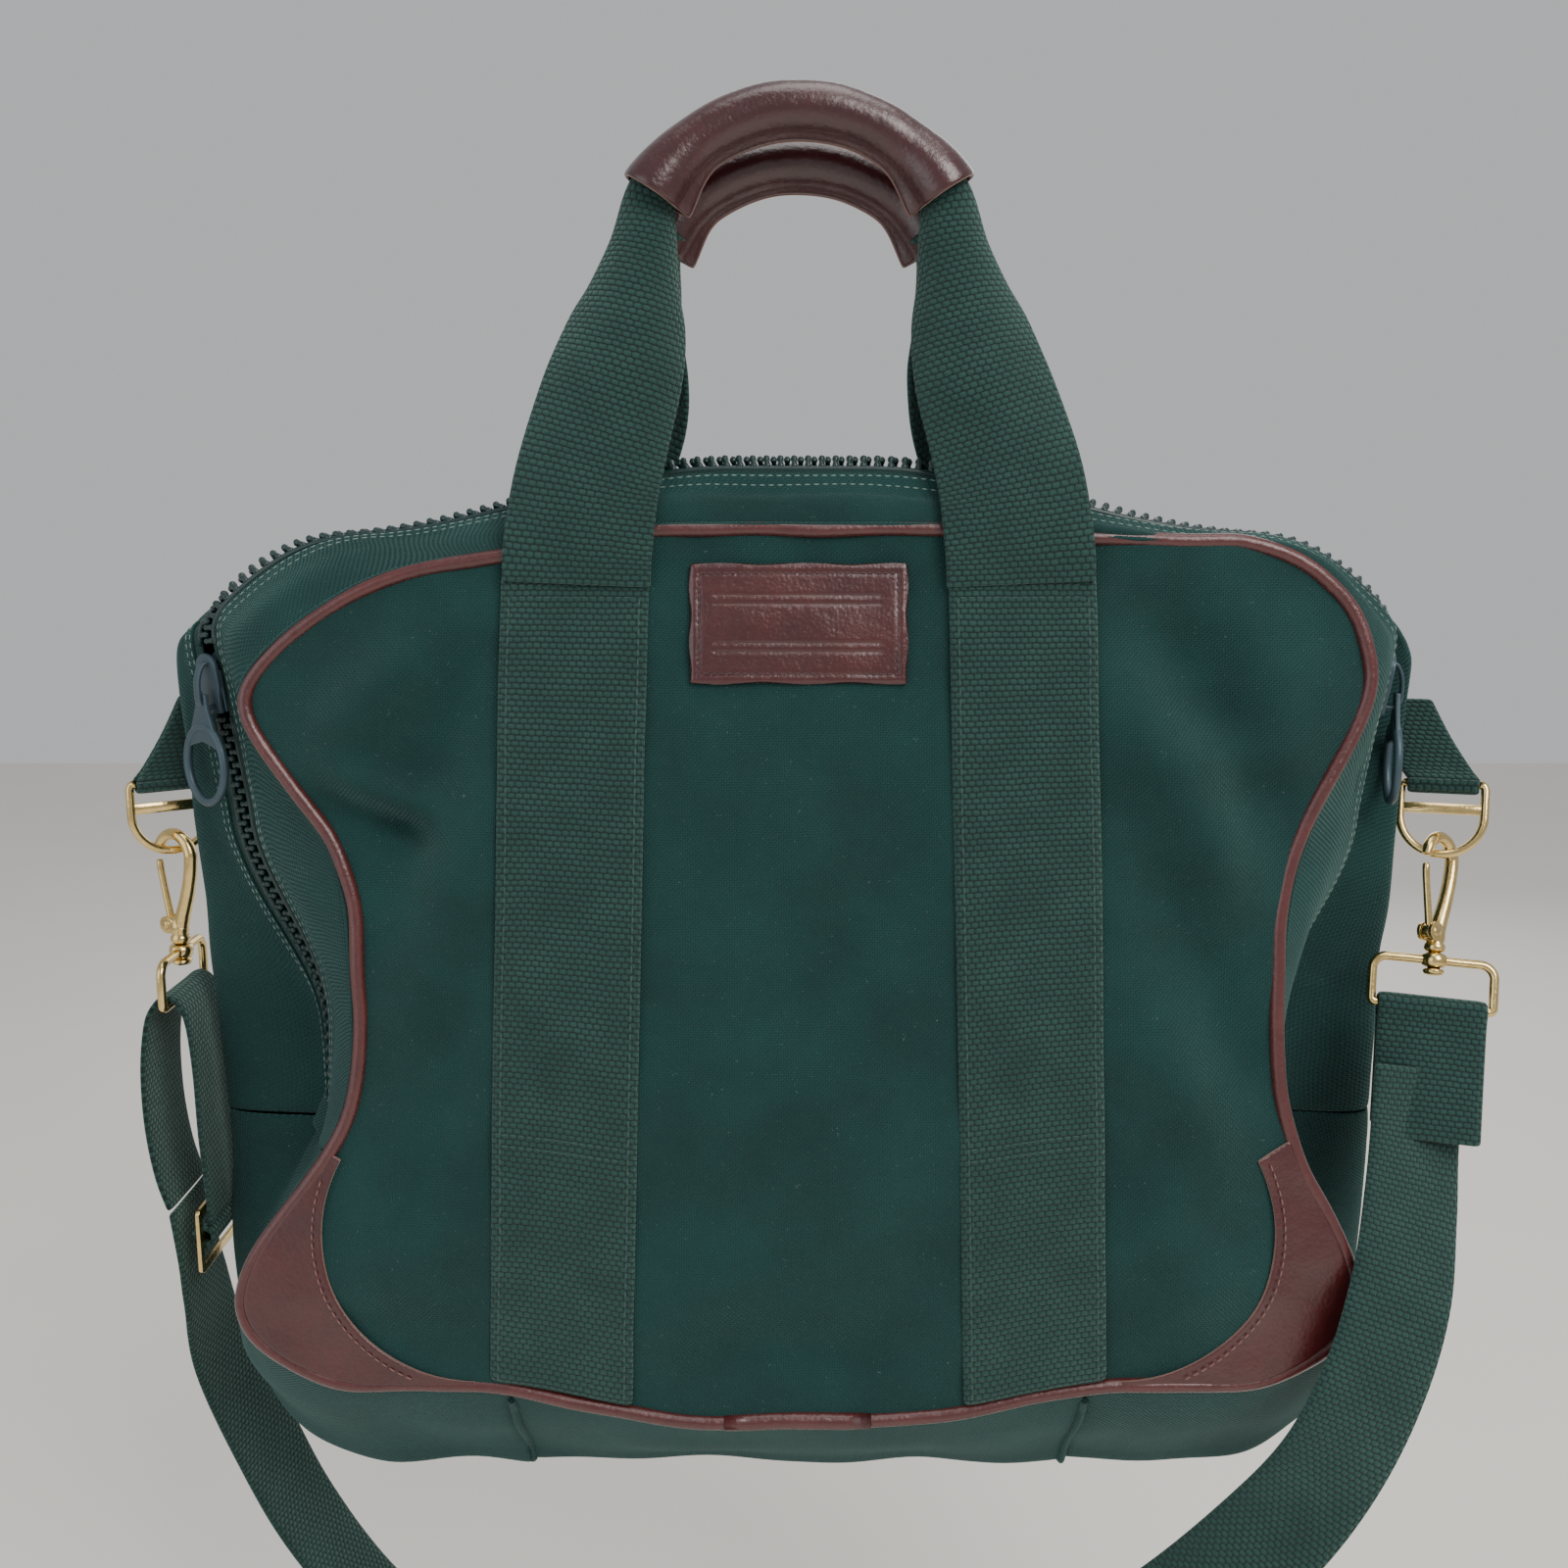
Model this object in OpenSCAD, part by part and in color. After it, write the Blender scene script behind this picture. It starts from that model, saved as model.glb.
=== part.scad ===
// Soft canvas carry bag with two carry handles, a zipper over the top and a clip-on shoulder strap.
// Frame: +X to the wearer's left, -Y the front face, +Z up, origin at the hang point under the grips.

/* [Bag body] */
// Width of the front and back panels
panel_w = 394; // [320:2:470]
// Height of the front and back panels
panel_h = 312; // [256:2:376]
// Drop from the hang point to the top edge of the panels
top_drop = 128; // [110:1:156]
// Distance between the panels at their top edge
depth_top = 36; // [30:1:48]
// Distance between the panels at their bottom edge
depth_bottom = 104; // [84:1:126]
// Radius of the drooping upper left corner of a panel
corner_tl = 84; // [60:1:100]
// Radius of the upper right corner of a panel
corner_tr = 50; // [38:1:80]
// Radius of the lower corners of a panel
corner_b = 44; // [34:1:60]
// How far the left side of the front panel is drawn in at mid height
pinch_left = 44; // [20:1:54]
// How far the right side of the front panel is drawn in at mid height
pinch_right = 30; // [14:1:40]
// Thickness of the canvas with its lining
canvas_t = 1.2; // [0.8:0.1:2]
// Diameter of the leather piping
piping_d = 5.2; // [4:0.1:7]
// How far the gusset stands out past the panels at the sides
gusset_side = 26; // [18:1:36]
// How far the gusset sags below the panels
gusset_sag = 47; // [34:1:56]
// How far the zipper edge stands above the panels' top edge
gusset_rise = 24; // [18:1:32]

/* [Zipper] */
// Width of the closed chain of teeth
chain_w = 8.8; // [7:0.1:10]
// Thickness of the chain of teeth
chain_t = 3.2; // [2.4:0.1:4]
// Thickness of the zipper tape
tape_t = 0.8; // [0.6:0.1:1.2]
// Width of the tape on one side, from the middle of the chain
tape_w = 15; // [13:0.5:18]
// Half of the gap between the open rows of teeth
mouth_gap = 6.5; // [5:0.5:9]
// Length of the zipper slider
slider_l = 22; // [18:0.5:26]
// Width of the zipper slider
slider_w = 13; // [12:0.1:15]
// Free space between the slider and what runs through it
slider_gap = 0.5; // [0.35:0.05:0.7]
// How far the face of the left slider is turned from the front
slider_yaw_l = 38; // [20:1:60]
// How far the face of the right slider is turned from the front
slider_yaw_r = 78; // [50:1:90]
// Outer width of the ring of the zipper pull
pull_w = 26; // [20:0.5:30]
// Outer length of the ring of the zipper pull
pull_l = 33; // [28:0.5:38]

/* [Handles] */
// Width of the handle webbing
handle_web_w = 50.8; // [44:0.2:56]
// Thickness of the handle webbing
handle_web_t = 2.2; // [1.6:0.1:3]
// Distance from the middle to a handle band at the panel's top edge
band_x_top = 76; // [62:1:90]
// Distance from the middle to a handle band at the panel's bottom edge
band_x_bottom = 84; // [68:1:98]
// Radius of the arc of the grip
grip_arc_r = 58; // [50:1:66]
// Half of the angle of the grip's arc
grip_half = 56; // [48:1:62]
// Diameter of the rolled webbing core in the grip
grip_core_d = 9.6; // [8:0.1:11]
// Outer diameter of the leather sleeve
grip_d = 14; // [12.5:0.1:18]
// Distance between the grip's middle line and the bag's mid plane
grip_y = 11; // [9.5:0.5:16]
// How much lower the back grip hangs
back_drop = 13; // [0:1:18]

/* [Strap] */
// Width of the shoulder strap
strap_w = 38; // [32:0.5:42]
// Thickness of the shoulder strap webbing
strap_t = 2.2; // [1.6:0.1:2.8]
// Inner width of the strap ring
ring_in_w = 39; // [36:0.5:44]
// Wire radius of the strap ring
ring_wire_r = 1.6; // [1.2:0.1:2]
// Width of the webbing tab that holds a D-ring
tab_w = 25; // [20:0.5:30]
// Wire radius of the D-ring
dring_wire_r = 1.5; // [1.2:0.1:1.9]
// Running clearance of pins in their holes
run_gap = 0.05; // [0.03:0.01:0.1]

/* [Leather trim] */
// Thickness of the leather patches
leather_t = 1.6; // [1.2:0.1:2.2]
// Width of the label patch
label_w = 74; // [60:1:90]
// Height of the label patch
label_h = 40; // [30:1:50]
// Drop from the panel's top edge to the label patch
label_drop = 12; // [8:1:30]

/* [Hidden] */
$fn = 32;

LEFT = -1;
RIGHT = 1;
FRONT = -1;
BACK = 1;

z_top = -top_drop;
z_bottom = z_top - panel_h;
half_w = panel_w / 2;
pinch_z = z_top - panel_h * 0.51;
pinch_reach = panel_h * 0.36;
droop_left = 12;
droop_right = 4;
corner_lift = 13;
zip_fall = 26;

// Stations round the bag: counts of steps along each straight and each corner.
n_top = 6;
n_arc = 6;
n_side = 14;
n_bottom = 12;
n_loop = 2 * n_top + 4 * n_arc + 2 * n_side + n_bottom;
i_side_r = n_top + n_arc;
i_bottom = i_side_r + n_side + n_arc;
i_side_l = i_bottom + n_bottom + n_arc;
zip_run = 10;
i_zip_end_r = i_side_r + zip_run;
i_zip_end_l = i_side_l + n_side - zip_run;
i_slide_r = i_side_r + 1;
i_slide_l = i_side_l + n_side - 1;
i_seam_r = i_bottom + 2;
i_seam_l = i_bottom + n_bottom - 2;

function lerp(a, b, t) = a + (b - a) * t;
function unit(v) = v / norm(v);
function smooth(t) = let (c = min(1, max(0, t))) c * c * (3 - 2 * c);
function at(ring, i) = ring[(i + 2 * len(ring)) % len(ring)];
function line_pts(a, b, n) = [for (k = [0:n - 1]) lerp(a, b, k / n)];
function arc_pts(c, r, a0, a1, n) =
    [for (k = [0:n - 1]) let (a = lerp(a0, a1, k / n)) c + r * [cos(a), sin(a)]];

// Rounded rectangle as [x, z] points, clockwise from the middle of its top edge.
function outline(hw, zt, zb, rl, rr, rb) = concat(
    line_pts([0, zt], [hw - rr, zt], n_top),
    arc_pts([hw - rr, zt - rr], rr, 90, 0, n_arc),
    line_pts([hw, zt - rr], [hw, zb + rb], n_side),
    arc_pts([hw - rb, zb + rb], rb, 0, -90, n_arc),
    line_pts([hw - rb, zb], [-hw + rb, zb], n_bottom),
    arc_pts([-hw + rb, zb + rb], rb, -90, -180, n_arc),
    line_pts([-hw, zb + rb], [-hw, zt - rl], n_side),
    arc_pts([-hw + rl, zt - rl], rl, 180, 90, n_arc),
    line_pts([-hw + rl, zt], [0, zt], n_top));

// Half of the bag's depth at a height: the panels lean apart towards the bottom.
function half_depth(z) = lerp(depth_top, depth_bottom, (z_top - z) / panel_h) / 2;
function pinch_shape(z) = 1 - pow(sin(90 * min(1, abs(z - pinch_z) / pinch_reach)), 4);
function pinch(x, z, k) =
    x - sign(x) * (x < 0 ? pinch_left : pinch_right) * k * pinch_shape(z);
function droop(x, z) = (x < 0 ? droop_left : droop_right)
    * smooth((abs(x) - 40) / 90) * smooth((z - z_top + 70) / 60);
// The piping is drawn up over the bottom corners, and the zipper's line falls to each side.
function lift(x, z) = corner_lift * smooth((abs(x) - 30) / 90) * smooth((z_bottom + 50 - z) / 50);
function zip_droop(x, z) = zip_fall * smooth((abs(x) - 25) / 140) * smooth((z - z_top + 60) / 80);

// Outline of a panel, drawn in by inset and pinched by the share k.
function panel_outline(inset, k) =
    [for (p = outline(half_w - inset, z_top - inset, z_bottom + inset, corner_tl - inset,
            corner_tr - inset, corner_b - inset))
        [pinch(p[0], p[1], k), p[1] - droop(p[0], p[1]) + lift(p[0], p[1])]];

back_pinch = 0.25;
ring_front = [for (p = panel_outline(0, 1)) [p[0], -half_depth(p[1]), p[1]]];
ring_back = [for (p = panel_outline(0, back_pinch)) [p[0], half_depth(p[1]), p[1]]];

// The zipper's middle line, which goes on below the zipper as the crease of the gusset.
zip_out = gusset_side - 12;
zip_straight_z = z_top - 37;
zip_turn_z = z_top - 100;
zip_low_z = z_top - 216;
zip_slope = 0.15;
zip_in = 26;
function zip_draw_in(z) =
    (zip_slope * min(max(zip_straight_z - z, 0), zip_straight_z - zip_turn_z)
        + zip_in * smooth((zip_turn_z - z) / 80)) * (1 - smooth((zip_low_z - z) / 75));
zip_corner = 52;
ring_zip = [for (p = outline(half_w + zip_out, z_top + gusset_rise, z_bottom - gusset_sag,
        zip_corner, zip_corner, zip_corner + 4))
    [p[0] - sign(p[0]) * zip_draw_in(p[1]), 0, p[1] - zip_droop(p[0], p[1])]];

// The bulge of the gusset behind the zipper.
bulge_y = 0.5;
ring_bulge = [for (p = outline(half_w + gusset_side, z_top + 12, z_bottom - 0.72 * gusset_sag,
        64, 64, 54))
    [p[0], bulge_y * half_depth(p[1]), p[1] - zip_droop(p[0], p[1])]];

// Share of the zipper being open at a station: all over the top, none at the sliders.
function top_index(i) = min(i, n_loop - i);
function open_share(i) = 1 - smooth((top_index(i) - n_top + 1) / (n_arc + 1));
// Share of the tapes being held flat by a slider: whole along its travel.
function flat_share(i) = let (k = top_index(i) - i_side_r)
    k < -3 ? 0 : k < 0 ? smooth((k + 3) / 3) : 1 - smooth((k - 5) / 4);

// Directions of a slider: along the travel, and across from the front tape to the back tape.
function yaw_of(side) = side == LEFT ? slider_yaw_l : slider_yaw_r;
function slide_dir(side) = unit([-side * zip_slope, 0, -1]);
function across_dir(side) =
    let (y = yaw_of(side), d = slide_dir(side), a = [side * cos(y), sin(y), 0])
    unit(a - d * (a * d));
function face_dir(side) = side * cross(slide_dir(side), across_dir(side));
function side_of(i) = i < n_loop / 2 ? RIGHT : LEFT;

tape_in = slider_w / 2 + 1.3;
// The slider's post runs between the two rows of teeth, in half a slit on each side.
post_w = 1.2;
slit = post_w / 2 + 0.4;
function tape_dir(i, edge, s) =
    let (z = at(ring_zip, i), j = (i + n_loop) % n_loop)
    unit(lerp(unit(edge - z), s * across_dir(side_of(j)), flat_share(j)));

// Points across the gusset at a station, from the front piping to the back piping.
function gusset_row(i) =
    let (j = (i + n_loop) % n_loop,
        a = ring_front[j], z = ring_zip[j], k = ring_bulge[j], b = ring_back[j],
        gap = mouth_gap * open_share(j),
        df = tape_dir(j, a, FRONT), db = tape_dir(j, b, BACK),
        zf = z - [0, gap, 0], zb = z + [0, gap, 0],
        f1 = zf + df * tape_in, b1 = zb + db * tape_in,
        f2 = f1 + unit(lerp(df, unit(a - f1), 0.6)) * (tape_w - tape_in),
        b2 = b1 + unit(lerp(db, unit(k - b1), 0.6)) * (tape_w - tape_in),
        out = unit([z[0] - a[0], 0, z[2] - a[2]]))
    [a, lerp(a, f2, 0.5) + out * 3, f2, f1, zf + df * chain_w / 2, zf + df * slit, zf,
        zb, zb + db * slit, zb + db * chain_w / 2, b1, b2, k, b];
GUSSET = [for (i = [0:n_loop - 1]) gusset_row(i)];
// Columns of a gusset row.
C_FRONT = [0, 1, 2];
C_TAPE_FRONT = [2, 3, 4];
C_TEETH_FRONT = [4, 5];
C_TEETH_BACK = [8, 9];
C_TAPE_BACK = [9, 10, 11];
C_BACK = [11, 12, 13];
C_FOLD = [0, 1, 2, 3, 6, 10, 11, 12, 13];
function strip(i0, i1, cols) = [for (i = [i0:i1]) [for (c = cols) at(GUSSET, i)[c]]];
// The same grid with its first and last columns moved in, to meet the piping's side.
function trimmed(grid, first, last) = [for (row = grid) let (n = len(row) - 1)
    [for (k = [0:n]) k == 0 && first > 0 ? row[0] + unit(row[1] - row[0]) * first
        : k == n && last > 0 ? row[n] + unit(row[n - 1] - row[n]) * last : row[k]]];

// Offset direction of a grid of points at row i and column j, midway between the two sides of
// a fold and long enough to keep the sheet's thickness on both.
function grid_normal(g, i, j) =
    let (m = len(g) - 1, n = len(g[0]) - 1,
        du = g[min(i + 1, m)][j] - g[max(i - 1, 0)][j],
        before = unit(cross(du, g[i][max(j, 1)] - g[i][max(j, 1) - 1])),
        after = unit(cross(du, g[i][min(j, n - 1) + 1] - g[i][min(j, n - 1)])),
        middle = unit(before + after))
    middle / max(middle * before, 0.6);

// Closed solid between two offsets of a grid of points.
module sheet(g, d0, d1) {
    m = len(g);
    n = len(g[0]);
    top = [for (i = [0:m - 1]) for (j = [0:n - 1]) g[i][j] + grid_normal(g, i, j) * d1];
    low = [for (i = [0:m - 1]) for (j = [0:n - 1]) g[i][j] + grid_normal(g, i, j) * d0];
    o = m * n;
    quads = concat(
        [for (i = [0:m - 2]) for (j = [0:n - 2])
            [i * n + j, i * n + j + 1, (i + 1) * n + j + 1, (i + 1) * n + j]],
        [for (i = [0:m - 2]) for (j = [0:n - 2])
            [o + (i + 1) * n + j, o + (i + 1) * n + j + 1, o + i * n + j + 1, o + i * n + j]],
        [for (i = [0:m - 2]) [i * n, (i + 1) * n, o + (i + 1) * n, o + i * n]],
        [for (i = [0:m - 2]) [(i + 1) * n + n - 1, i * n + n - 1, o + i * n + n - 1,
            o + (i + 1) * n + n - 1]],
        [for (j = [0:n - 2]) [j + 1, j, o + j, o + j + 1]],
        [for (j = [0:n - 2]) [(m - 1) * n + j, (m - 1) * n + j + 1, o + (m - 1) * n + j + 1,
            o + (m - 1) * n + j]]);
    polyhedron(concat(top, low), [for (q = quads) each [[q[0], q[1], q[2]], [q[0], q[2], q[3]]]]);
}

// Tube along a closed ring of points.
module ring_tube(ring, r, sides) {
    n = len(ring);
    pts = [for (i = [0:n - 1])
        let (t = unit(at(ring, i + 1) - at(ring, i - 1)), u = unit(cross(t, [0, 1, 0])),
            v = cross(u, t))
        for (k = [0:sides - 1]) ring[i] + r * (u * cos(360 * k / sides) + v * sin(360 * k / sides))];
    polyhedron(pts, [for (i = [0:n - 1]) for (k = [0:sides - 1])
        let (a = i * sides + k, b = i * sides + (k + 1) % sides,
            c = ((i + 1) % n) * sides + (k + 1) % sides, d = ((i + 1) % n) * sides + k)
        each [[a, b, c], [a, c, d]]]);
}

// Rod with exact round sides between two points.
module rod(a, b, r) {
    d = b - a;
    translate(a)
        rotate([0, acos(d[2] / norm(d)), atan2(d[1], d[0])])
            cylinder(r = r, h = norm(d));
}

// Places children so that their x, y and z axes lie along u, v and w, with the origin at p.
module frame_at(p, u, v, w) {
    multmatrix([[u[0], v[0], w[0], p[0]], [u[1], v[1], w[1], p[1]], [u[2], v[2], w[2], p[2]],
        [0, 0, 0, 1]]) children();
}

// ---- Panels ----

panel_tilt = atan((depth_bottom - depth_top) / 2 / panel_h);
seam_inset = piping_d / 2 - 0.3;

// Flat piece on a panel's plane: children are drawn in [x, height above the top edge], and the
// piece lies between the distances d0 and d1 outside the panel's middle plane.
module on_panel(face, d0, d1) {
    c = cos(panel_tilt);
    d = sin(panel_tilt);
    frame_at([0, face * depth_top / 2, z_top], [1, 0, 0], [0, -face * d, c], [0, -c, -face * d])
        translate([0, 0, face == FRONT ? d0 : -d1]) linear_extrude(d1 - d0) children();
}
function to_panel(pts) = [for (p = pts) [p[0], (p[1] - z_top) / cos(panel_tilt)]];

module panel(face, k) {
    on_panel(face, -canvas_t / 2, canvas_t / 2) polygon(to_panel(panel_outline(seam_inset, k)));
}
module front_panel() { color("#17443f") panel(FRONT, 1); }
module back_panel() { color("#17443f") panel(BACK, back_pinch); }

// Slip pocket sewn inside the back panel.
pocket_w = 260;
pocket_h = 170;
pocket_drop = 70;
module inner_pocket() {
    color("#1d3a36")
        on_panel(BACK, -canvas_t * 1.5 - 0.3, -canvas_t / 2 - 0.3)
            translate([-pocket_w / 2, -pocket_drop - pocket_h]) square([pocket_w, pocket_h]);
}

// ---- Gusset, piping and zipper ----

edge_in = piping_d / 2 - 0.3;
cover_t = canvas_t;
cover_out = -tape_t / 2 - 0.1 - cover_t;
cover_in = -tape_t / 2 - 0.1;

module gusset_top_front() {
    color("#184841")
        sheet(trimmed(strip(i_zip_end_l, i_zip_end_r + n_loop, C_FRONT), edge_in, 0),
            cover_out, cover_in);
}
module gusset_top_back() {
    color("#184841")
        sheet(trimmed(strip(i_zip_end_l, i_zip_end_r + n_loop, C_BACK), 0, edge_in),
            cover_out, cover_in);
}
module gusset_fold(i0, i1) {
    color("#143c38") sheet(trimmed(strip(i0, i1, C_FOLD), edge_in, edge_in), cover_out, cover_in);
}
module gusset_side_right() { gusset_fold(i_zip_end_r, i_seam_r); }
module gusset_side_left() { gusset_fold(i_seam_l, i_zip_end_l); }
module gusset_bottom() { gusset_fold(i_seam_r, i_seam_l); }

module piping_front() { color("#552d2c") ring_tube(ring_front, piping_d / 2, 8); }
module piping_back() { color("#552d2c") ring_tube(ring_back, piping_d / 2, 8); }

// Leather sleeve over the piping's join, at the middle of the bottom. It is open towards the
// panel and the gusset, which are sewn into the piping there.
sleeve_l = 26;
sleeve_wall = 0.6;
sleeve_turn = 170;
module piping_joint(face) {
    color("#4a2527")
        translate([0, face * half_depth(z_bottom), z_bottom])
            rotate([0, 90, 0]) rotate([0, 0, face == FRONT ? -100 : -70])
                translate([0, 0, -sleeve_l / 2]) rotate_extrude(angle = sleeve_turn)
                    translate([piping_d / 2 + 0.1, 0]) square([sleeve_wall, sleeve_l]);
}
module piping_joint_front() { piping_joint(FRONT); }
module piping_joint_back() { piping_joint(BACK); }

module zipper_tape_front() {
    color("#12352f")
        sheet(strip(i_zip_end_l, i_zip_end_r + n_loop, C_TAPE_FRONT), -tape_t / 2, tape_t / 2);
}
module zipper_tape_back() {
    color("#12352f")
        sheet(strip(i_zip_end_l, i_zip_end_r + n_loop, C_TAPE_BACK), -tape_t / 2, tape_t / 2);
}
module zipper_teeth_front() {
    color("#1c3533")
        sheet(strip(i_slide_l + 1, i_slide_r - 1 + n_loop, C_TEETH_FRONT), -chain_t / 2, chain_t / 2);
}
module zipper_teeth_back() {
    color("#1c3533")
        sheet(strip(i_slide_l + 1, i_slide_r - 1 + n_loop, C_TEETH_BACK), -chain_t / 2, chain_t / 2);
}
module zipper_chain(i0, i1) {
    color("#1c3533")
        for (c = [C_TEETH_FRONT, C_TEETH_BACK]) sheet(strip(i0, i1, c), -chain_t / 2, chain_t / 2);
}
module zipper_chain_right() { zipper_chain(i_slide_r, i_zip_end_r); }
module zipper_chain_left() { zipper_chain(i_zip_end_l, i_slide_l); }

// Short canvas cover stitched over each lower end of the zipper.
end_cover_l = 14;
module zipper_end_cover(side) {
    i = side == LEFT ? i_zip_end_l : i_zip_end_r;
    p = ring_zip[i];
    d = unit(at(ring_zip, i + side) - p);
    a = across_dir(side);
    w = unit(a - d * (a * d));
    out = side * cross(d, w);
    color("#17443f")
        frame_at(p + out * (chain_t / 2 + 0.2), w, d, cross(w, d))
            translate([-tape_in, -end_cover_l, side > 0 ? -canvas_t : 0])
                cube([2 * tape_in, end_cover_l, canvas_t]);
}
module zipper_end_cover_left() { zipper_end_cover(LEFT); }
module zipper_end_cover_right() { zipper_end_cover(RIGHT); }

// ---- Leather patches and handle bands on the panels ----

band_d0 = canvas_t / 2 + 0.1;
band_top = 16;
patch_reach = 86;
patch_edge = 33;

// Leather corner: the panel's outline cut back by a curved inner edge.
module corner_patch(face, side, k) {
    color("#4a2527")
        on_panel(face, band_d0, band_d0 + leather_t)
            intersection() {
                polygon(to_panel(panel_outline(seam_inset + 0.5, k)));
                difference() {
                    translate([side > 0 ? half_w - patch_reach + 3 : -half_w - 10, -panel_h * 1.1])
                        square([patch_reach + 7, patch_reach + panel_h * 0.1 + 6]);
                    translate([side * (half_w - patch_reach + 3), -panel_h / cos(panel_tilt)
                            + patch_reach - 18])
                        circle(r = patch_reach - patch_edge, $fn = 64);
                }
            }
}
module corner_patch_front_left() { corner_patch(FRONT, LEFT, 1); }
module corner_patch_front_right() { corner_patch(FRONT, RIGHT, 1); }
module corner_patch_back_left() { corner_patch(BACK, LEFT, back_pinch); }
module corner_patch_back_right() { corner_patch(BACK, RIGHT, back_pinch); }

module label_patch() {
    color("#5b2a28")
        on_panel(FRONT, band_d0, band_d0 + leather_t)
            translate([-label_w / 2, -label_drop - label_h]) square([label_w, label_h]);
}

// Handle webbing sewn down the panel, from below the top piping to the bottom piping.
module handle_band(face, side) {
    slant_h = panel_h / cos(panel_tilt);
    color("#2a4a42")
        on_panel(face, band_d0, band_d0 + handle_web_t) intersection() {
            polygon([for (e = [[band_x_top, -band_top, -1], [band_x_top, -band_top, 1],
                    [band_x_bottom, -slant_h, 1], [band_x_bottom, -slant_h, -1]])
                [side * (e[0] + e[2] * handle_web_w / 2), e[1]]]);
            polygon(to_panel(panel_outline(seam_inset + 0.5, 0)));
        }
}
module handle_band_front_left() { handle_band(FRONT, LEFT); }
module handle_band_front_right() { handle_band(FRONT, RIGHT); }
module handle_band_back_left() { handle_band(BACK, LEFT); }
module handle_band_back_right() { handle_band(BACK, RIGHT); }

// ---- Carry handles ----

function grip_drop(face) = face == FRONT ? 0 : back_drop;
lip_h = 2.5;
lip_w = 3.6;
function grip_centre(face) =
    [0, face * grip_y, lip_h + grip_d / 2 - grip_arc_r - grip_drop(face)];
function grip_end(face, side) = grip_centre(face)
    + grip_arc_r * [side * sin(grip_half), 0, cos(grip_half)];
function band_head(face, side) = [side * band_x_top,
    face * (half_depth(z_top) + handle_web_t / 2 + band_d0), z_top - band_top + 1];

// One free arm of webbing: wide and flat at the bag, folded lengthwise where it enters the grip.
arm_steps = 8;
arm_out = 3.2;
arm_bow = 5;
module handle_arm(face, side) {
    a = band_head(face, side) + [0, face * arm_out, 0.6];
    e = grip_end(face, side);
    up = unit([-side * sin(90 - grip_half), 0, cos(90 - grip_half)]);
    b = e + up * 2.4;
    color("#2a4a42")
        sheet([for (i = [0:arm_steps])
            let (t = i / arm_steps, s = smooth((t - 0.35) / 0.65),
                c = lerp(a, b, t) + [side * 3 * sin(180 * t), face * arm_bow * sin(180 * t), 0],
                hw = lerp(handle_web_w / 2 - 0.5, grip_core_d / 2 - 1.6, s),
                fold = lerp(0, grip_core_d / 2 - 1, s))
            [for (q = [-1:0.5:1])
                c + [q * hw, face * (fold * (1 - abs(q)) - fold / 2), -side * q * hw * 0.25 * s]]],
            -handle_web_t / 2, handle_web_t / 2);
}
module handle_front_arm_left() { handle_arm(FRONT, LEFT); }
module handle_front_arm_right() { handle_arm(FRONT, RIGHT); }
module handle_back_arm_left() { handle_arm(BACK, LEFT); }
module handle_back_arm_right() { handle_arm(BACK, RIGHT); }

// Arc of the grip, as an exact torus piece in the plane of the handle.
module grip_arc(face, half) {
    translate(grip_centre(face))
        rotate([90, 0, 0])
            rotate([0, 0, 90 - half]) rotate_extrude(angle = 2 * half)
                translate([grip_arc_r, 0]) children();
}
grip_past = 3;
module handle_core(face) {
    color("#2a4a42") grip_arc(face, grip_half - grip_past) circle(r = grip_core_d / 2);
}
// Leather sleeve round the core, with the two edges stitched into a lip on its underside.
module handle_grip(face) {
    color("#4a2527")
        grip_arc(face, grip_half) difference() {
            union() {
                circle(r = grip_d / 2);
                translate([-grip_d / 2 - lip_h, -lip_w / 2]) square([lip_h + 1.5, lip_w]);
            }
            circle(r = grip_core_d / 2 + 0.05);
        }
}
module handle_front_core() { handle_core(FRONT); }
module handle_front_grip() { handle_grip(FRONT); }
module handle_back_core() { handle_core(BACK); }
module handle_back_grip() { handle_grip(BACK); }

// ---- Zipper sliders and pulls ----

slide_share = 0.3;
function slider_pos(side) = side == RIGHT
    ? lerp(ring_zip[i_slide_r], ring_zip[i_slide_r + 1], slide_share)
    : lerp(ring_zip[i_slide_l], ring_zip[i_slide_l - 1], slide_share);
// Local axes: x across to the back tape, y down along the chain, z out of the bag.
module at_slider(side) {
    x = across_dir(side);
    y = slide_dir(side);
    z = face_dir(side);
    frame_at(slider_pos(side), -x * side, y, z) children();
}
// The pull hangs plumb: its axes are x level along the pin, y straight down and z outwards.
function pull_dir(side) = let (z = face_dir(side)) unit([z[0], z[1], 0]);
module at_pull(side) {
    z = pull_dir(side);
    frame_at(slider_pos(side), cross([0, 0, -1], z), [0, 0, -1], z) children();
}

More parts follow.
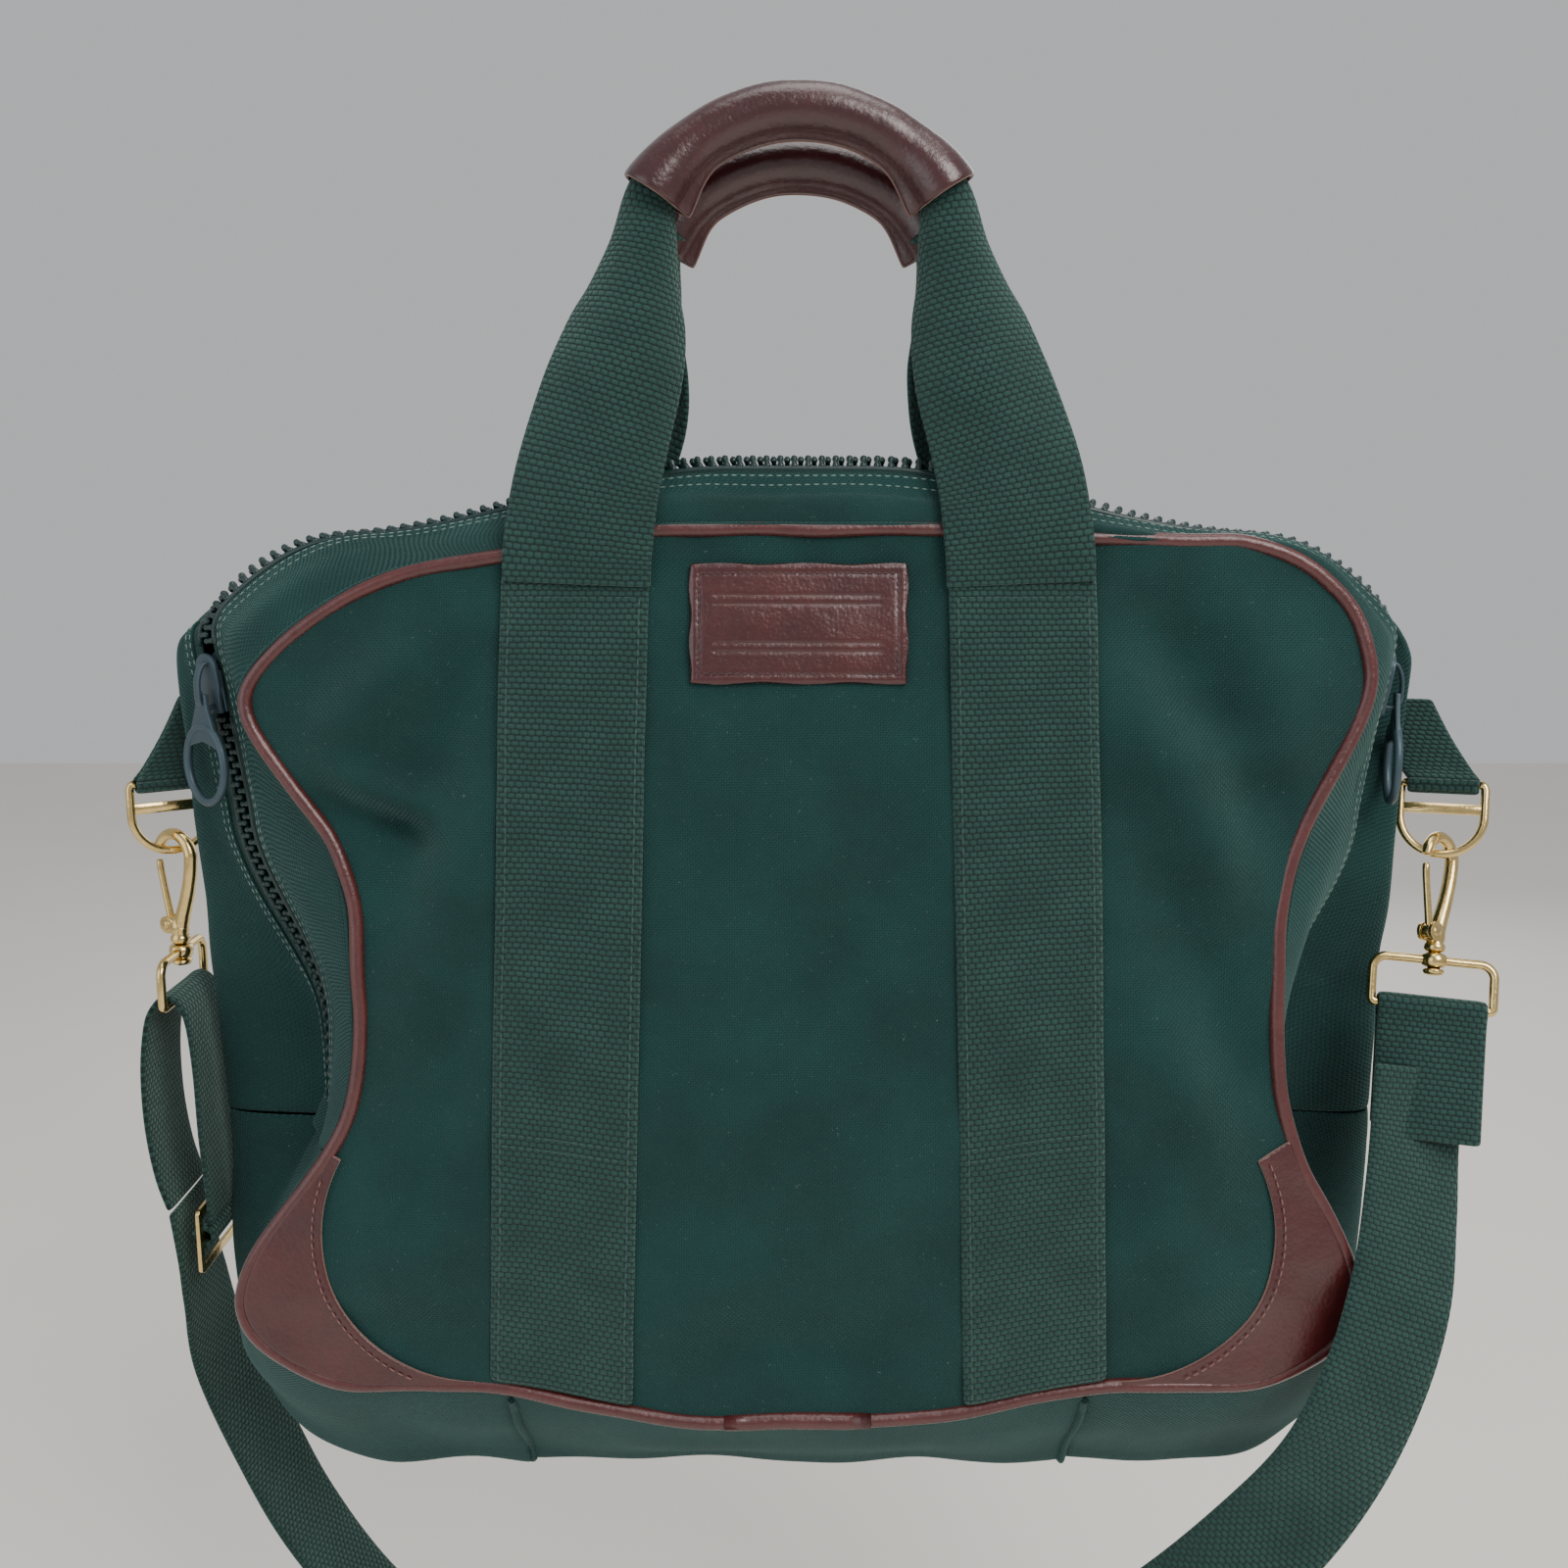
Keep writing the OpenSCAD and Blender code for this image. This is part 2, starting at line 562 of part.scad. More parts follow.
plate_t = 1.5;
chain_room = chain_t / 2 + slider_gap;
slider_h = 2 * (chain_room + plate_t);
lug_y = 5;
lug_z = slider_h / 2 + 3;
lug_w = 3.4;
pin_r = 1.2;
tape_room = tape_t / 2 + slider_gap + 0.25;
module zip_slider(side) {
    color("#3c4a52") {
        at_slider(side) translate([-post_w / 2, -slider_l / 2 + 1, -chain_room - 0.2])
            cube([post_w, 5, 2 * chain_room + 0.4]);
        at_slider(side) difference() {
            intersection() {
                translate([-slider_w / 2, -slider_l / 2, -slider_h / 2])
                    cube([slider_w, slider_l, slider_h]);
                translate([0, -slider_l / 2 + slider_w / 2 - 1, -slider_h])
                    union() {
                        cylinder(r = slider_w / 2 + 0.6, h = 2 * slider_h);
                        translate([-slider_w / 2 + 0.8, 0, 0])
                            cube([slider_w - 1.6, slider_l, 2 * slider_h]);
                    }
            }
            translate([-chain_w / 2 - slider_gap, -slider_l, -chain_room])
                cube([chain_w + 2 * slider_gap, 2 * slider_l, 2 * chain_room]);
            translate([-slider_w, -slider_l, -tape_room])
                cube([2 * slider_w, 2 * slider_l, 2 * tape_room]);
        }
        at_pull(side) difference() {
            union() {
                translate([-lug_w / 2, -6, slider_h / 2 - 0.3]) cube([lug_w, 14, 2.4]);
                translate([-lug_w / 2, lug_y, lug_z])
                    rotate([0, 90, 0]) cylinder(r = 3.2, h = lug_w);
            }
            translate([-lug_w, lug_y, lug_z])
                rotate([0, 90, 0]) cylinder(r = pin_r + run_gap, h = 2 * lug_w);
        }
    }
}
module zip_slider_left() { zip_slider(LEFT); }
module zip_slider_right() { zip_slider(RIGHT); }

pull_wire_r = 1.5;
cheek_t = 1.8;
cheek_gap = 0.3;
neck_l = 9;
module zip_pull(side) {
    rr = pull_w / 2 - pull_wire_r;
    straight = pull_l - pull_w;
    cy = lug_y + neck_l + rr;
    color("#3c4a52") at_pull(side) translate([0, 0, lug_z]) {
        translate([-lug_w / 2 - 0.5, lug_y, 0]) rotate([0, 90, 0])
            cylinder(r = pin_r, h = lug_w + 1);
        for (m = [-1, 1])
            translate([m * (lug_w / 2 + cheek_gap + cheek_t / 2) - cheek_t / 2, 0, 0]) {
                translate([0, lug_y, 0]) rotate([0, 90, 0]) cylinder(r = 2.4, h = cheek_t);
                translate([0, lug_y, -1.4]) cube([cheek_t, neck_l, 2.8]);
            }
        translate([-lug_w / 2 - cheek_gap - cheek_t, lug_y + 4.4, -1.2])
            cube([lug_w + 2 * (cheek_gap + cheek_t), neck_l - 3.4, 2.4]);
        translate([0, cy, 0]) rotate([0, 0, 180])
            rotate_extrude(angle = 180) translate([rr, 0]) circle(r = pull_wire_r);
        translate([0, cy + straight, 0])
            rotate_extrude(angle = 180) translate([rr, 0]) circle(r = pull_wire_r);
        for (m = [-1, 1]) rod([m * rr, cy, 0], [m * rr, cy + straight, 0], pull_wire_r);
    }
}
module zip_pull_left() { zip_pull(LEFT); }
module zip_pull_right() { zip_pull(RIGHT); }

// ---- D-rings, snap hooks and strap rings ----

// Where each D-ring's bar lies, and how the hardware below it is turned and leans.
bar_l = [-236, 20, -222];
bar_r = [240.5, 14, -222];
yaw_l = 35;
yaw_r = -25;
lean_r = [18.5, 7];
module at_hardware(side) {
    if (side == LEFT) translate(bar_l) children();
    else translate(bar_r) rotate([-lean_r[0], lean_r[1], 0]) children();
}
function ring_yaw(side) = side == LEFT ? yaw_l : yaw_r;
function hook_yaw(side) = side == LEFT ? -28 : 35;
function strap_ring_yaw(side) = side == LEFT ? 90 : -12;

// Webbing tab: a sewn loop round the D-ring's bar, and its tail up to the gusset.
tab_t = 2;
tab_l = 32;
tab_in = 18;
module d_ring_tab(side) {
    bore_r = dring_wire_r + run_gap;
    color("#2a4a42") at_hardware(side) rotate([0, 0, ring_yaw(side)]) {
        difference() {
            translate([-tab_w / 2, 0, 0]) rotate([0, 90, 0]) cylinder(r = bore_r + tab_t, h = tab_w);
            translate([-tab_w, 0, 0]) rotate([0, 90, 0]) cylinder(r = bore_r, h = 2 * tab_w);
        }
        hull() {
            translate([-tab_w / 2, -tab_t, bore_r + 0.8]) cube([tab_w, 2 * tab_t, 1]);
            translate([-tab_w / 2 - side * tab_in, -tab_t, tab_l]) cube([tab_w, 2 * tab_t, 1]);
        }
    }
}
module d_ring_tab_left() { d_ring_tab(LEFT); }
module d_ring_tab_right() { d_ring_tab(RIGHT); }

dring_r = tab_w / 2 + 0.5 + dring_wire_r;
dring_drop = 12;
dring_bar_z = -9.5;
module d_ring(side) {
    color("#c9b26a") at_hardware(side) rotate([0, 0, ring_yaw(side)]) {
        rod([-dring_r, 0, 0], [dring_r, 0, 0], dring_wire_r);
        for (m = [-1, 1]) {
            rod([m * dring_r, 0, 0], [m * dring_r, 0, -dring_drop], dring_wire_r);
            translate([m * dring_r, 0, 0]) sphere(r = dring_wire_r);
        }
        translate([-dring_r, -0.9, dring_bar_z - 2]) cube([2 * dring_r, 1.8, 4]);
        translate([0, 0, -dring_drop]) rotate([90, 0, 0]) rotate([0, 0, 180])
            rotate_extrude(angle = 180) translate([dring_r, 0]) circle(r = dring_wire_r);
    }
}
module d_ring_left() { d_ring(LEFT); }
module d_ring_right() { d_ring(RIGHT); }

// The hook's own frame: origin at the middle of its bow, which the D-ring's bow runs through.
bow_r = 8.4;
bow_wire_r = 2.2;
bow_drop = 2.2;
hook_z = -dring_drop - dring_r - bow_drop;
pivot_z = -27;
pivot_x = -4.2;
rivet_r = 1;
ear_r = 3.2;
ear_t = 1.3;
gate_t = 2.6;
ear_gap = 0.3;
collar_z = -34;
boss_l = 5.6;
boss_r = 4.2;
post_r = 2.2;
module at_hook(side) {
    at_hardware(side) translate([0, 0, hook_z]) rotate([0, 0, hook_yaw(side)]) children();
}
module across_y(r, w, x, z) {
    translate([x, w / 2, z]) rotate([90, 0, 0]) cylinder(r = r, h = w);
}
module snap_hook(side) {
    color("#c9b26a") at_hook(side) difference() {
        union() {
            rotate([90, 0, 0])
                rotate_extrude(angle = 173) translate([bow_r, 0]) circle(r = bow_wire_r);
            translate([bow_r, 0, 0]) sphere(r = bow_wire_r + 0.2);
            rod([bow_r, 0, 0], [4.2, 0, -17], bow_wire_r);
            translate([4.2, 0, -17]) sphere(r = bow_wire_r + 0.2);
            rod([4.2, 0, -17], [1.4, 0, pivot_z + 1], bow_wire_r);
            across_y(4.6, gate_t + 2 * (ear_t + ear_gap), 1.6, pivot_z);
            for (m = [-1, 1])
                translate([0, m * (gate_t / 2 + ear_gap + ear_t / 2), 0])
                    across_y(ear_r, ear_t, pivot_x, pivot_z);
            translate([0, 0, collar_z]) cylinder(r = 3.4, h = 5);
            translate([0, 0, collar_z - boss_l - 1]) cylinder(r = post_r, h = boss_l + 2);
            translate([0, 0, collar_z - boss_l - 2.6]) cylinder(r = 3.4, h = 2);
        }
        // Slot for the gate's knuckle, and the rivet's hole.
        across_y(4.2, gate_t + 2 * ear_gap, pivot_x, pivot_z);
        across_y(rivet_r + run_gap, 20, pivot_x, pivot_z);
    }
}
module snap_hook_left() { snap_hook(LEFT); }
module snap_hook_right() { snap_hook(RIGHT); }

gate_top = -2.6;
module hook_gate(side) {
    color("#c9b26a") at_hook(side) difference() {
        union() {
            across_y(2.9, gate_t, pivot_x, pivot_z);
            rod([pivot_x - 0.5, 0, pivot_z + 1.5], [-bow_r, 0, gate_top], 1.3);
        }
        across_y(rivet_r + run_gap, 20, pivot_x, pivot_z);
    }
}
module hook_gate_left() { hook_gate(LEFT); }
module hook_gate_right() { hook_gate(RIGHT); }

module gate_rivet(side) {
    w = gate_t + 2 * (ear_gap + ear_t);
    color("#b59d58") at_hook(side) {
        across_y(rivet_r, w + 0.4, pivot_x, pivot_z);
        for (m = [-1, 1])
            translate([0, m * (w / 2 + 0.4), 0]) across_y(1.9, 0.8, pivot_x, pivot_z);
    }
}
module gate_rivet_left() { gate_rivet(LEFT); }
module gate_rivet_right() { gate_rivet(RIGHT); }

// Rectangular ring that turns on the hook's post and carries the strap.
ring_corner = 5;
ring_h = 17;
boss_z = hook_z + collar_z - 0.3 - boss_l / 2;
module strap_ring(side) {
    hx = ring_in_w / 2 + ring_wire_r;
    color("#c9b26a") at_hardware(side) translate([0, 0, boss_z])
        rotate([0, 0, strap_ring_yaw(side)]) difference() {
            union() {
                translate([0, 0, -boss_l / 2 + 0.3]) cylinder(r = boss_r, h = boss_l - 0.6);
                rod([-hx + ring_corner, 0, 0], [hx - ring_corner, 0, 0], ring_wire_r);
                rod([-hx, 0, -ring_h], [hx, 0, -ring_h], ring_wire_r);
                for (m = [-1, 1]) {
                    translate([m * hx, 0, -ring_h]) sphere(r = ring_wire_r);
                    rod([m * hx, 0, -ring_corner], [m * hx, 0, -ring_h], ring_wire_r);
                }
                translate([hx - ring_corner, 0, -ring_corner]) rotate([90, 0, 0])
                    rotate_extrude(angle = 90) translate([ring_corner, 0]) circle(r = ring_wire_r);
                translate([-hx + ring_corner, 0, -ring_corner]) rotate([90, 0, 0])
                    rotate([0, 0, 90])
                    rotate_extrude(angle = 90) translate([ring_corner, 0]) circle(r = ring_wire_r);
            }
            translate([0, 0, -boss_l]) cylinder(r = post_r + run_gap, h = 2 * boss_l);
        }
}
module strap_ring_left() { strap_ring(LEFT); }
module strap_ring_right() { strap_ring(RIGHT); }

// ---- Shoulder strap ----

// Webbing folded over a strap ring and sewn to itself: a loop round the bar, and a flat tail.
bar_room = 0.1;
module strap_fold(side, tail) {
    r0 = ring_wire_r + bar_room;
    hw = strap_w / 2;
    translate([0, 0, boss_z - ring_h]) rotate([0, 0, strap_ring_yaw(side)]) {
        difference() {
            translate([-hw, 0, 0]) rotate([0, 90, 0]) cylinder(r = r0 + strap_t, h = strap_w);
            translate([-hw - 1, 0, 0]) rotate([0, 90, 0]) cylinder(r = r0, h = strap_w + 2);
            translate([-hw - 1, -r0 - strap_t - 1, -r0 - strap_t - 1])
                cube([strap_w + 2, 2 * (r0 + strap_t + 1), r0 + strap_t + 1]);
        }
        for (m = [-1, 1])
            translate([-hw, m < 0 ? -r0 - strap_t : r0, -tail]) cube([strap_w, strap_t, tail]);
    }
}
sewn_tail = 42;
module strap_end_right() { color("#2a4a42") at_hardware(RIGHT) strap_fold(RIGHT, sewn_tail); }

// Open loop of the left end, as [x, z] from the adjuster up over the strap ring and down again.
LOOP = [[-225.2, -392.2], [-226, -374], [-227, -355], [-227.5, -330], [-229, -312],
    [-231.7, -304.5], [-236, -301.6], [-240.5, -304.5], [-244, -312], [-246.5, -330],
    [-246.5, -352], [-244, -372], [-239.8, -387.6]];
module strap_end_left() {
    color("#2a4a42")
        sheet([for (p = LOOP) [for (q = [-1, 1]) [p[0], bar_l[1] + q * strap_w / 2, p[1]]]],
            -strap_t / 2, strap_t / 2);
}

// Middle line of the strap from the right end to the left end, with the turn of its face from
// the front towards the outside of the loop.
ROUTE = [[225.8, -19.8, -320.5, -12], [222.8, -26, -344, -12], [218, -38, -366, -6],
    [210, -54, -391, 0], [199, -63, -420, 2],
    [184, -65, -452, 8], [162, -64, -482, 25], [134, -60, -512, 45], [98, -50, -544, 65],
    [54, -34, -576, 80], [6, -16, -603, 88], [-44, 2, -618, 90], [-94, 16, -618, 90],
    [-140, 27, -604, 88], [-178, 35, -576, 82], [-205, 38, -540, 76], [-222, 36, -500, 74],
    [-235, 30, -458, 80], [-237, 23, -425, 88], [-237.5, 20.5, -408, 90],
    [-239.6, 20, -387, 90]];
route_steps = 4;
function spline(p, i, t) =
    let (n = len(p) - 1, a = p[max(i - 1, 0)], b = p[i], c = p[min(i + 1, n)],
        d = p[min(i + 2, n)])
    0.5 * (2 * b + (c - a) * t + (2 * a - 5 * b + 4 * c - d) * t * t
        + (3 * b - a - 3 * c + d) * t * t * t);
STRAP = [for (i = [0:len(ROUTE) - 2]) for (k = [0:route_steps - (i == len(ROUTE) - 2 ? 0 : 1)])
    spline(ROUTE, i, k / route_steps)];
function xyz(p) = [p[0], p[1], p[2]];
module shoulder_strap() {
    n = len(STRAP) - 1;
    color("#2a4a42")
        sheet([for (i = [0:n])
            let (p = xyz(STRAP[i]), t = unit(xyz(STRAP[min(i + 1, n)]) - xyz(STRAP[max(i - 1, 0)])),
                out = unit(cross(t, [0, 1, 0])),
                face = cos(STRAP[i][3]) * [0, -1, 0] + sin(STRAP[i][3]) * out * -1,
                w = unit(cross(t, face)))
            [for (q = [-1:1:1]) p + w * q * strap_w / 2]], -strap_t / 2, strap_t / 2);
}

// Three-bar slider of the strap's length adjustment, and the strap's tail sewn round its bar.
adjuster_h = 26;
adjuster_t = 1.8;
adjuster_bar = 4;
adjuster_slot = 7.5;
adjuster_pos = [-228, bar_l[1], -397];
module strap_slider() {
    hx = strap_w / 2 + 4;
    slot_w = strap_w + 1;
    color("#c9b26a") translate(adjuster_pos) rotate([0, 0, 90]) difference() {
        translate([-hx, -adjuster_t / 2, -adjuster_h / 2]) cube([2 * hx, adjuster_t, adjuster_h]);
        for (m = [-1, 1])
            translate([-slot_w / 2, -adjuster_t, m * (adjuster_bar + adjuster_slot) / 2
                    - adjuster_slot / 2]) cube([slot_w, 2 * adjuster_t, adjuster_slot]);
    }
}
module strap_tail_loop() {
    r0 = adjuster_bar / 2 + 0.3;
    color("#2a4a42") translate(adjuster_pos - [0, strap_w / 2, 0]) rotate([-90, 0, 0])
        difference() {
            cylinder(r = r0 + strap_t, h = strap_w);
            translate([0, 0, -1]) cylinder(r = r0, h = strap_w + 2);
        }
}

front_panel();
back_panel();
gusset_top_front();
gusset_top_back();
gusset_side_left();
gusset_side_right();
gusset_bottom();
piping_front();
piping_back();
piping_joint_front();
piping_joint_back();
corner_patch_front_left();
corner_patch_front_right();
corner_patch_back_left();
corner_patch_back_right();
label_patch();
handle_band_front_left();
handle_band_front_right();
handle_band_back_left();
handle_band_back_right();
zipper_tape_front();
zipper_tape_back();
zipper_teeth_front();
zipper_teeth_back();
zipper_chain_left();
zipper_chain_right();
zipper_end_cover_left();
zipper_end_cover_right();
inner_pocket();
d_ring_tab_left();
d_ring_tab_right();
shoulder_strap();
strap_end_left();
strap_end_right();
strap_ring_left();
strap_ring_right();
strap_slider();
strap_tail_loop();
handle_front_arm_left();
handle_front_arm_right();
handle_front_core();
handle_front_grip();
handle_back_arm_left();
handle_back_arm_right();
handle_back_core();
handle_back_grip();
zip_slider_left();
zip_slider_right();
zip_pull_left();
zip_pull_right();
d_ring_left();
d_ring_right();
snap_hook_left();
snap_hook_right();
hook_gate_left();
hook_gate_right();
gate_rivet_left();
gate_rivet_right();
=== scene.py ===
"""Canvas messenger bag with leather trim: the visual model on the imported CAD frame."""
import math

import bpy
import bmesh
import numpy as np
from mathutils import Matrix, Vector, noise


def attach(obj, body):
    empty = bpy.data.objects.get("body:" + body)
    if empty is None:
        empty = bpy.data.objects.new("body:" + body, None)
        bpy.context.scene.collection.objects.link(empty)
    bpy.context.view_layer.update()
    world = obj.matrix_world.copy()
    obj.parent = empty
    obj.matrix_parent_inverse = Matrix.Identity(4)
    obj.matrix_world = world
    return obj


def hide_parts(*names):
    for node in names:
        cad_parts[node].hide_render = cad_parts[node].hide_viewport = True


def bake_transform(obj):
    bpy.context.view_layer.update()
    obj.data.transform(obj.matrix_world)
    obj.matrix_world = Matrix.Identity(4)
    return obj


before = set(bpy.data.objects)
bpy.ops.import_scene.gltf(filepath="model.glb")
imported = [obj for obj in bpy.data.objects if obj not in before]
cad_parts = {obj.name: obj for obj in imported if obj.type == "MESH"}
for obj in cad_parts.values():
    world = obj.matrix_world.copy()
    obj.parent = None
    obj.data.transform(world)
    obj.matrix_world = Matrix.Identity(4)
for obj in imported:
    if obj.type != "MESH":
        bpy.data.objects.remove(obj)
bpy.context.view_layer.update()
MM = 0.001
LEFT, RIGHT, FRONT, BACK = -1, 1, -1, 1

# ---------------------------------------------------------------- materials


class Mat:
    """A node material, with short ways to add nodes."""

    def __init__(self, name):
        self.m = bpy.data.materials.new(name)
        self.m.use_nodes = True
        self.nt = self.m.node_tree
        self.bsdf = self.nt.nodes["Principled BSDF"]
        self.uv = self.nt.nodes.new("ShaderNodeTexCoord").outputs["UV"]

    def link(self, a, b):
        if isinstance(a, (int, float)):
            b.default_value = a
        elif isinstance(a, (tuple, list)):
            b.default_value = a if len(a) == 4 else (*a, 1)
        else:
            self.nt.links.new(a, b)

    def math(self, op, a, b=0.0):
        n = self.nt.nodes.new("ShaderNodeMath")
        n.operation = op
        self.link(a, n.inputs[0])
        self.link(b, n.inputs[1])
        return n.outputs[0]

    def add(self, a, b):
        return self.math("ADD", a, b)

    def sub(self, a, b):
        return self.math("SUBTRACT", a, b)

    def mul(self, a, b):
        return self.math("MULTIPLY", a, b)

    def split(self):
        n = self.nt.nodes.new("ShaderNodeSeparateXYZ")
        self.link(self.uv, n.inputs[0])
        return n.outputs[0], n.outputs[1]

    def noise(self, scale, detail=3, rough=0.5, distortion=0.0):
        n = self.nt.nodes.new("ShaderNodeTexNoise")
        self.link(self.uv, n.inputs["Vector"])
        n.inputs["Scale"].default_value = scale
        n.inputs["Detail"].default_value = detail
        n.inputs["Roughness"].default_value = rough
        n.inputs["Distortion"].default_value = distortion
        return n.outputs["Fac"]

    def voronoi(self, scale):
        n = self.nt.nodes.new("ShaderNodeTexVoronoi")
        self.link(self.uv, n.inputs["Vector"])
        n.inputs["Scale"].default_value = scale
        return n.outputs["Distance"]

    def ramp(self, fac, start, stop, reverse=False):
        """Black up to start and white from stop on, or the reverse."""
        n = self.nt.nodes.new("ShaderNodeValToRGB")
        self.link(fac, n.inputs[0])
        for stop_at, shade, el in zip((start, stop), (reverse, not reverse), n.color_ramp.elements):
            el.position = stop_at
            el.color = (*[float(shade)] * 3, 1)
        return n.outputs[0]

    def mix(self, fac, a, b):
        n = self.nt.nodes.new("ShaderNodeMix")
        n.data_type = "RGBA"
        self.link(fac, n.inputs[0])
        self.link(a, n.inputs[6])
        self.link(b, n.inputs[7])
        return n.outputs[2]

    def bump(self, height, distance, strength=1.0):
        n = self.nt.nodes.new("ShaderNodeBump")
        n.inputs["Strength"].default_value = strength
        n.inputs["Distance"].default_value = distance
        self.link(height, n.inputs["Height"])
        if self.bsdf.inputs["Normal"].links:
            self.link(self.bsdf.inputs["Normal"].links[0].from_socket, n.inputs["Normal"])
        self.link(n.outputs[0], self.bsdf.inputs["Normal"])

    def set(self, **kw):
        for k, v in kw.items():
            self.link(v, self.bsdf.inputs[k.replace("_", " ")])
        return self


def scaled(colour, k, plus=0.0):
    return tuple(min(1, c * k + plus) for c in colour)


def weave(m, pitch, power=0.6):
    """Height of a plain weave of threads pitch apart, in the UV's centimetres."""
    u, v = m.split()
    wob = m.mul(m.sub(m.noise(1.3, 2), 0.5), 0.12)
    su = m.math("SINE", m.mul(m.add(u, wob), math.pi / pitch))
    sv = m.math("SINE", m.mul(m.add(v, wob), math.pi / pitch))
    over = m.math("GREATER_THAN", m.mul(su, sv), 0.0)
    a = m.math("POWER", m.math("ABSOLUTE", su), power)
    b = m.math("POWER", m.math("ABSOLUTE", sv), power)
    return m.add(m.mul(a, over), m.mul(b, m.sub(1.0, over)))


def canvas(name, base, light, pitch=0.085):
    m = Mat(name)
    w = weave(m, pitch)
    big = m.noise(0.22, 4, 0.6)
    mid = m.noise(1.6, 4, 0.65)
    col = m.mix(m.ramp(big, 0.35, 0.7), base, light)
    # Painted shade: the colour darkens in the weave's hollows, between the threads, where the weave height is low.
    col = m.mix(m.mul(m.sub(1.0, w), 0.75), col, scaled(base, 0.35))
    fuzz = m.ramp(m.noise(24, 2, 0.7), 0.6, 0.78)
    col = m.mix(m.mul(fuzz, 0.16), col, scaled(light, 2.6, 0.01))
    lint = m.ramp(m.noise(7, 1, 0.4, 2.0), 0.745, 0.77)
    col = m.mix(m.mul(lint, 0.18), col, (0.25, 0.33, 0.3))
    m.set(Base_Color=col, Roughness=m.add(0.78, m.mul(mid, 0.18)))
    m.set(Sheen_Weight=0.3, Sheen_Roughness=0.45, Specular_IOR_Level=0.25)
    m.bsdf.inputs["Sheen Tint"].default_value = (0.35, 0.6, 0.55, 1)
    m.bump(m.add(m.mul(w, 0.8), m.mul(mid, 0.5)), 0.0005, 0.8)
    return m.m


def webbing(name, base, light, pu=0.27, pv=0.2):
    m = Mat(name)
    u, v = m.split()
    wob = m.mul(m.sub(m.noise(1.1, 2), 0.5), 0.1)
    row = m.math("FLOOR", m.math("DIVIDE", m.add(v, wob), pv))
    odd = m.mul(m.math("MODULO", row, 2.0), pu / 2)
    su = m.math("SINE", m.mul(m.add(m.add(u, odd), wob), math.pi / pu))
    sv = m.math("SINE", m.mul(m.add(v, wob), math.pi / pv))
    h = m.mul(m.math("POWER", m.math("ABSOLUTE", su), 0.45), m.math("POWER", m.math("ABSOLUTE", sv), 0.55))
    big = m.noise(0.5, 4, 0.6)
    fine = m.noise(20, 3, 0.7)
    col = m.mix(m.ramp(big, 0.3, 0.7), base, light)
    # Painted shade: the colour darkens in the weave's hollows, where the height h is low.
    col = m.mix(m.ramp(h, 0.2, 0.75, True), col, scaled(base, 0.22))
    col = m.mix(m.mul(m.ramp(fine, 0.5, 0.75), 0.22), col,
                scaled(light, 2.4))
    m.set(Base_Color=col, Roughness=0.88, Sheen_Weight=0.35, Sheen_Roughness=0.5, Specular_IOR_Level=0.2)
    m.bsdf.inputs["Sheen Tint"].default_value = (0.4, 0.6, 0.52, 1)
    m.bump(m.add(h, m.mul(fine, 0.4)), 0.0009, 0.9)
    return m.m


def leather(name, base, light, rough=0.32, grain=9.0, coat=0.25):
    m = Mat(name)
    cells = m.voronoi(grain)
    pores = m.noise(grain * 4, 2, 0.6)
    big = m.noise(0.45, 4, 0.6)
    wear = m.ramp(m.noise(1.4, 5, 0.7), 0.56, 0.8)
    col = m.mix(m.ramp(big, 0.3, 0.72), base, light)
    col = m.mix(m.mul(wear, 0.22), col, scaled(light, 1.9, 0.012))
    # Painted shade: the colour darkens in the grain's hollows, where the voronoi distance is large and the bump is
    # lowest.
    col = m.mix(m.mul(cells, 0.35), col, scaled(base, 0.5))
    r = m.add(rough, m.mul(m.sub(m.noise(2.2, 4, 0.6), 0.5), 0.28))
    m.set(Base_Color=col, Roughness=r, Specular_IOR_Level=0.5, Coat_Weight=coat, Coat_Roughness=0.3)
    m.bump(m.add(m.mul(cells, -0.7), m.mul(pores, 0.5)), 0.00022, 0.7)
    m.bump(m.noise(1.8, 3, 0.55), 0.0011, 0.35)
    return m.m


def metal(name, base, rough=0.16):
    m = Mat(name)
    col = m.mix(m.ramp(m.noise(2.0, 4, 0.6), 0.35, 0.75), base,
                scaled(base, 0.72))
    r = m.add(rough, m.mul(m.ramp(m.noise(9, 4, 0.7), 0.45, 0.8), 0.2))
    m.set(Base_Color=col, Roughness=r, Metallic=1.0)
    m.bump(m.noise(5, 3, 0.6), 0.0002, 0.25)
    return m.m


def paint(name, base, rough=0.35):
    m = Mat(name)
    chips = m.ramp(m.noise(6, 3, 0.6), 0.7, 0.74)
    col = m.mix(m.noise(1.5, 3), base, scaled(base, 1.5))
    col = m.mix(m.mul(chips, 0.35), col, (0.22, 0.24, 0.25))
    m.set(Base_Color=col, Roughness=m.add(rough, m.mul(m.noise(8, 3), 0.15)), Metallic=0.35)
    m.bump(m.noise(12, 2), 0.00015, 0.3)
    return m.m


def plain(name, base, rough=0.6, sheen=0.0, scale=10, depth=0.0002):
    m = Mat(name)
    n = m.noise(scale, 3, 0.6)
    col = m.mix(n, scaled(base, 0.7), scaled(base, 1.3))
    m.set(Base_Color=col, Roughness=m.add(rough - 0.08, m.mul(n, 0.16)), Sheen_Weight=sheen)
    m.bump(n, depth, 0.6)
    return m.m


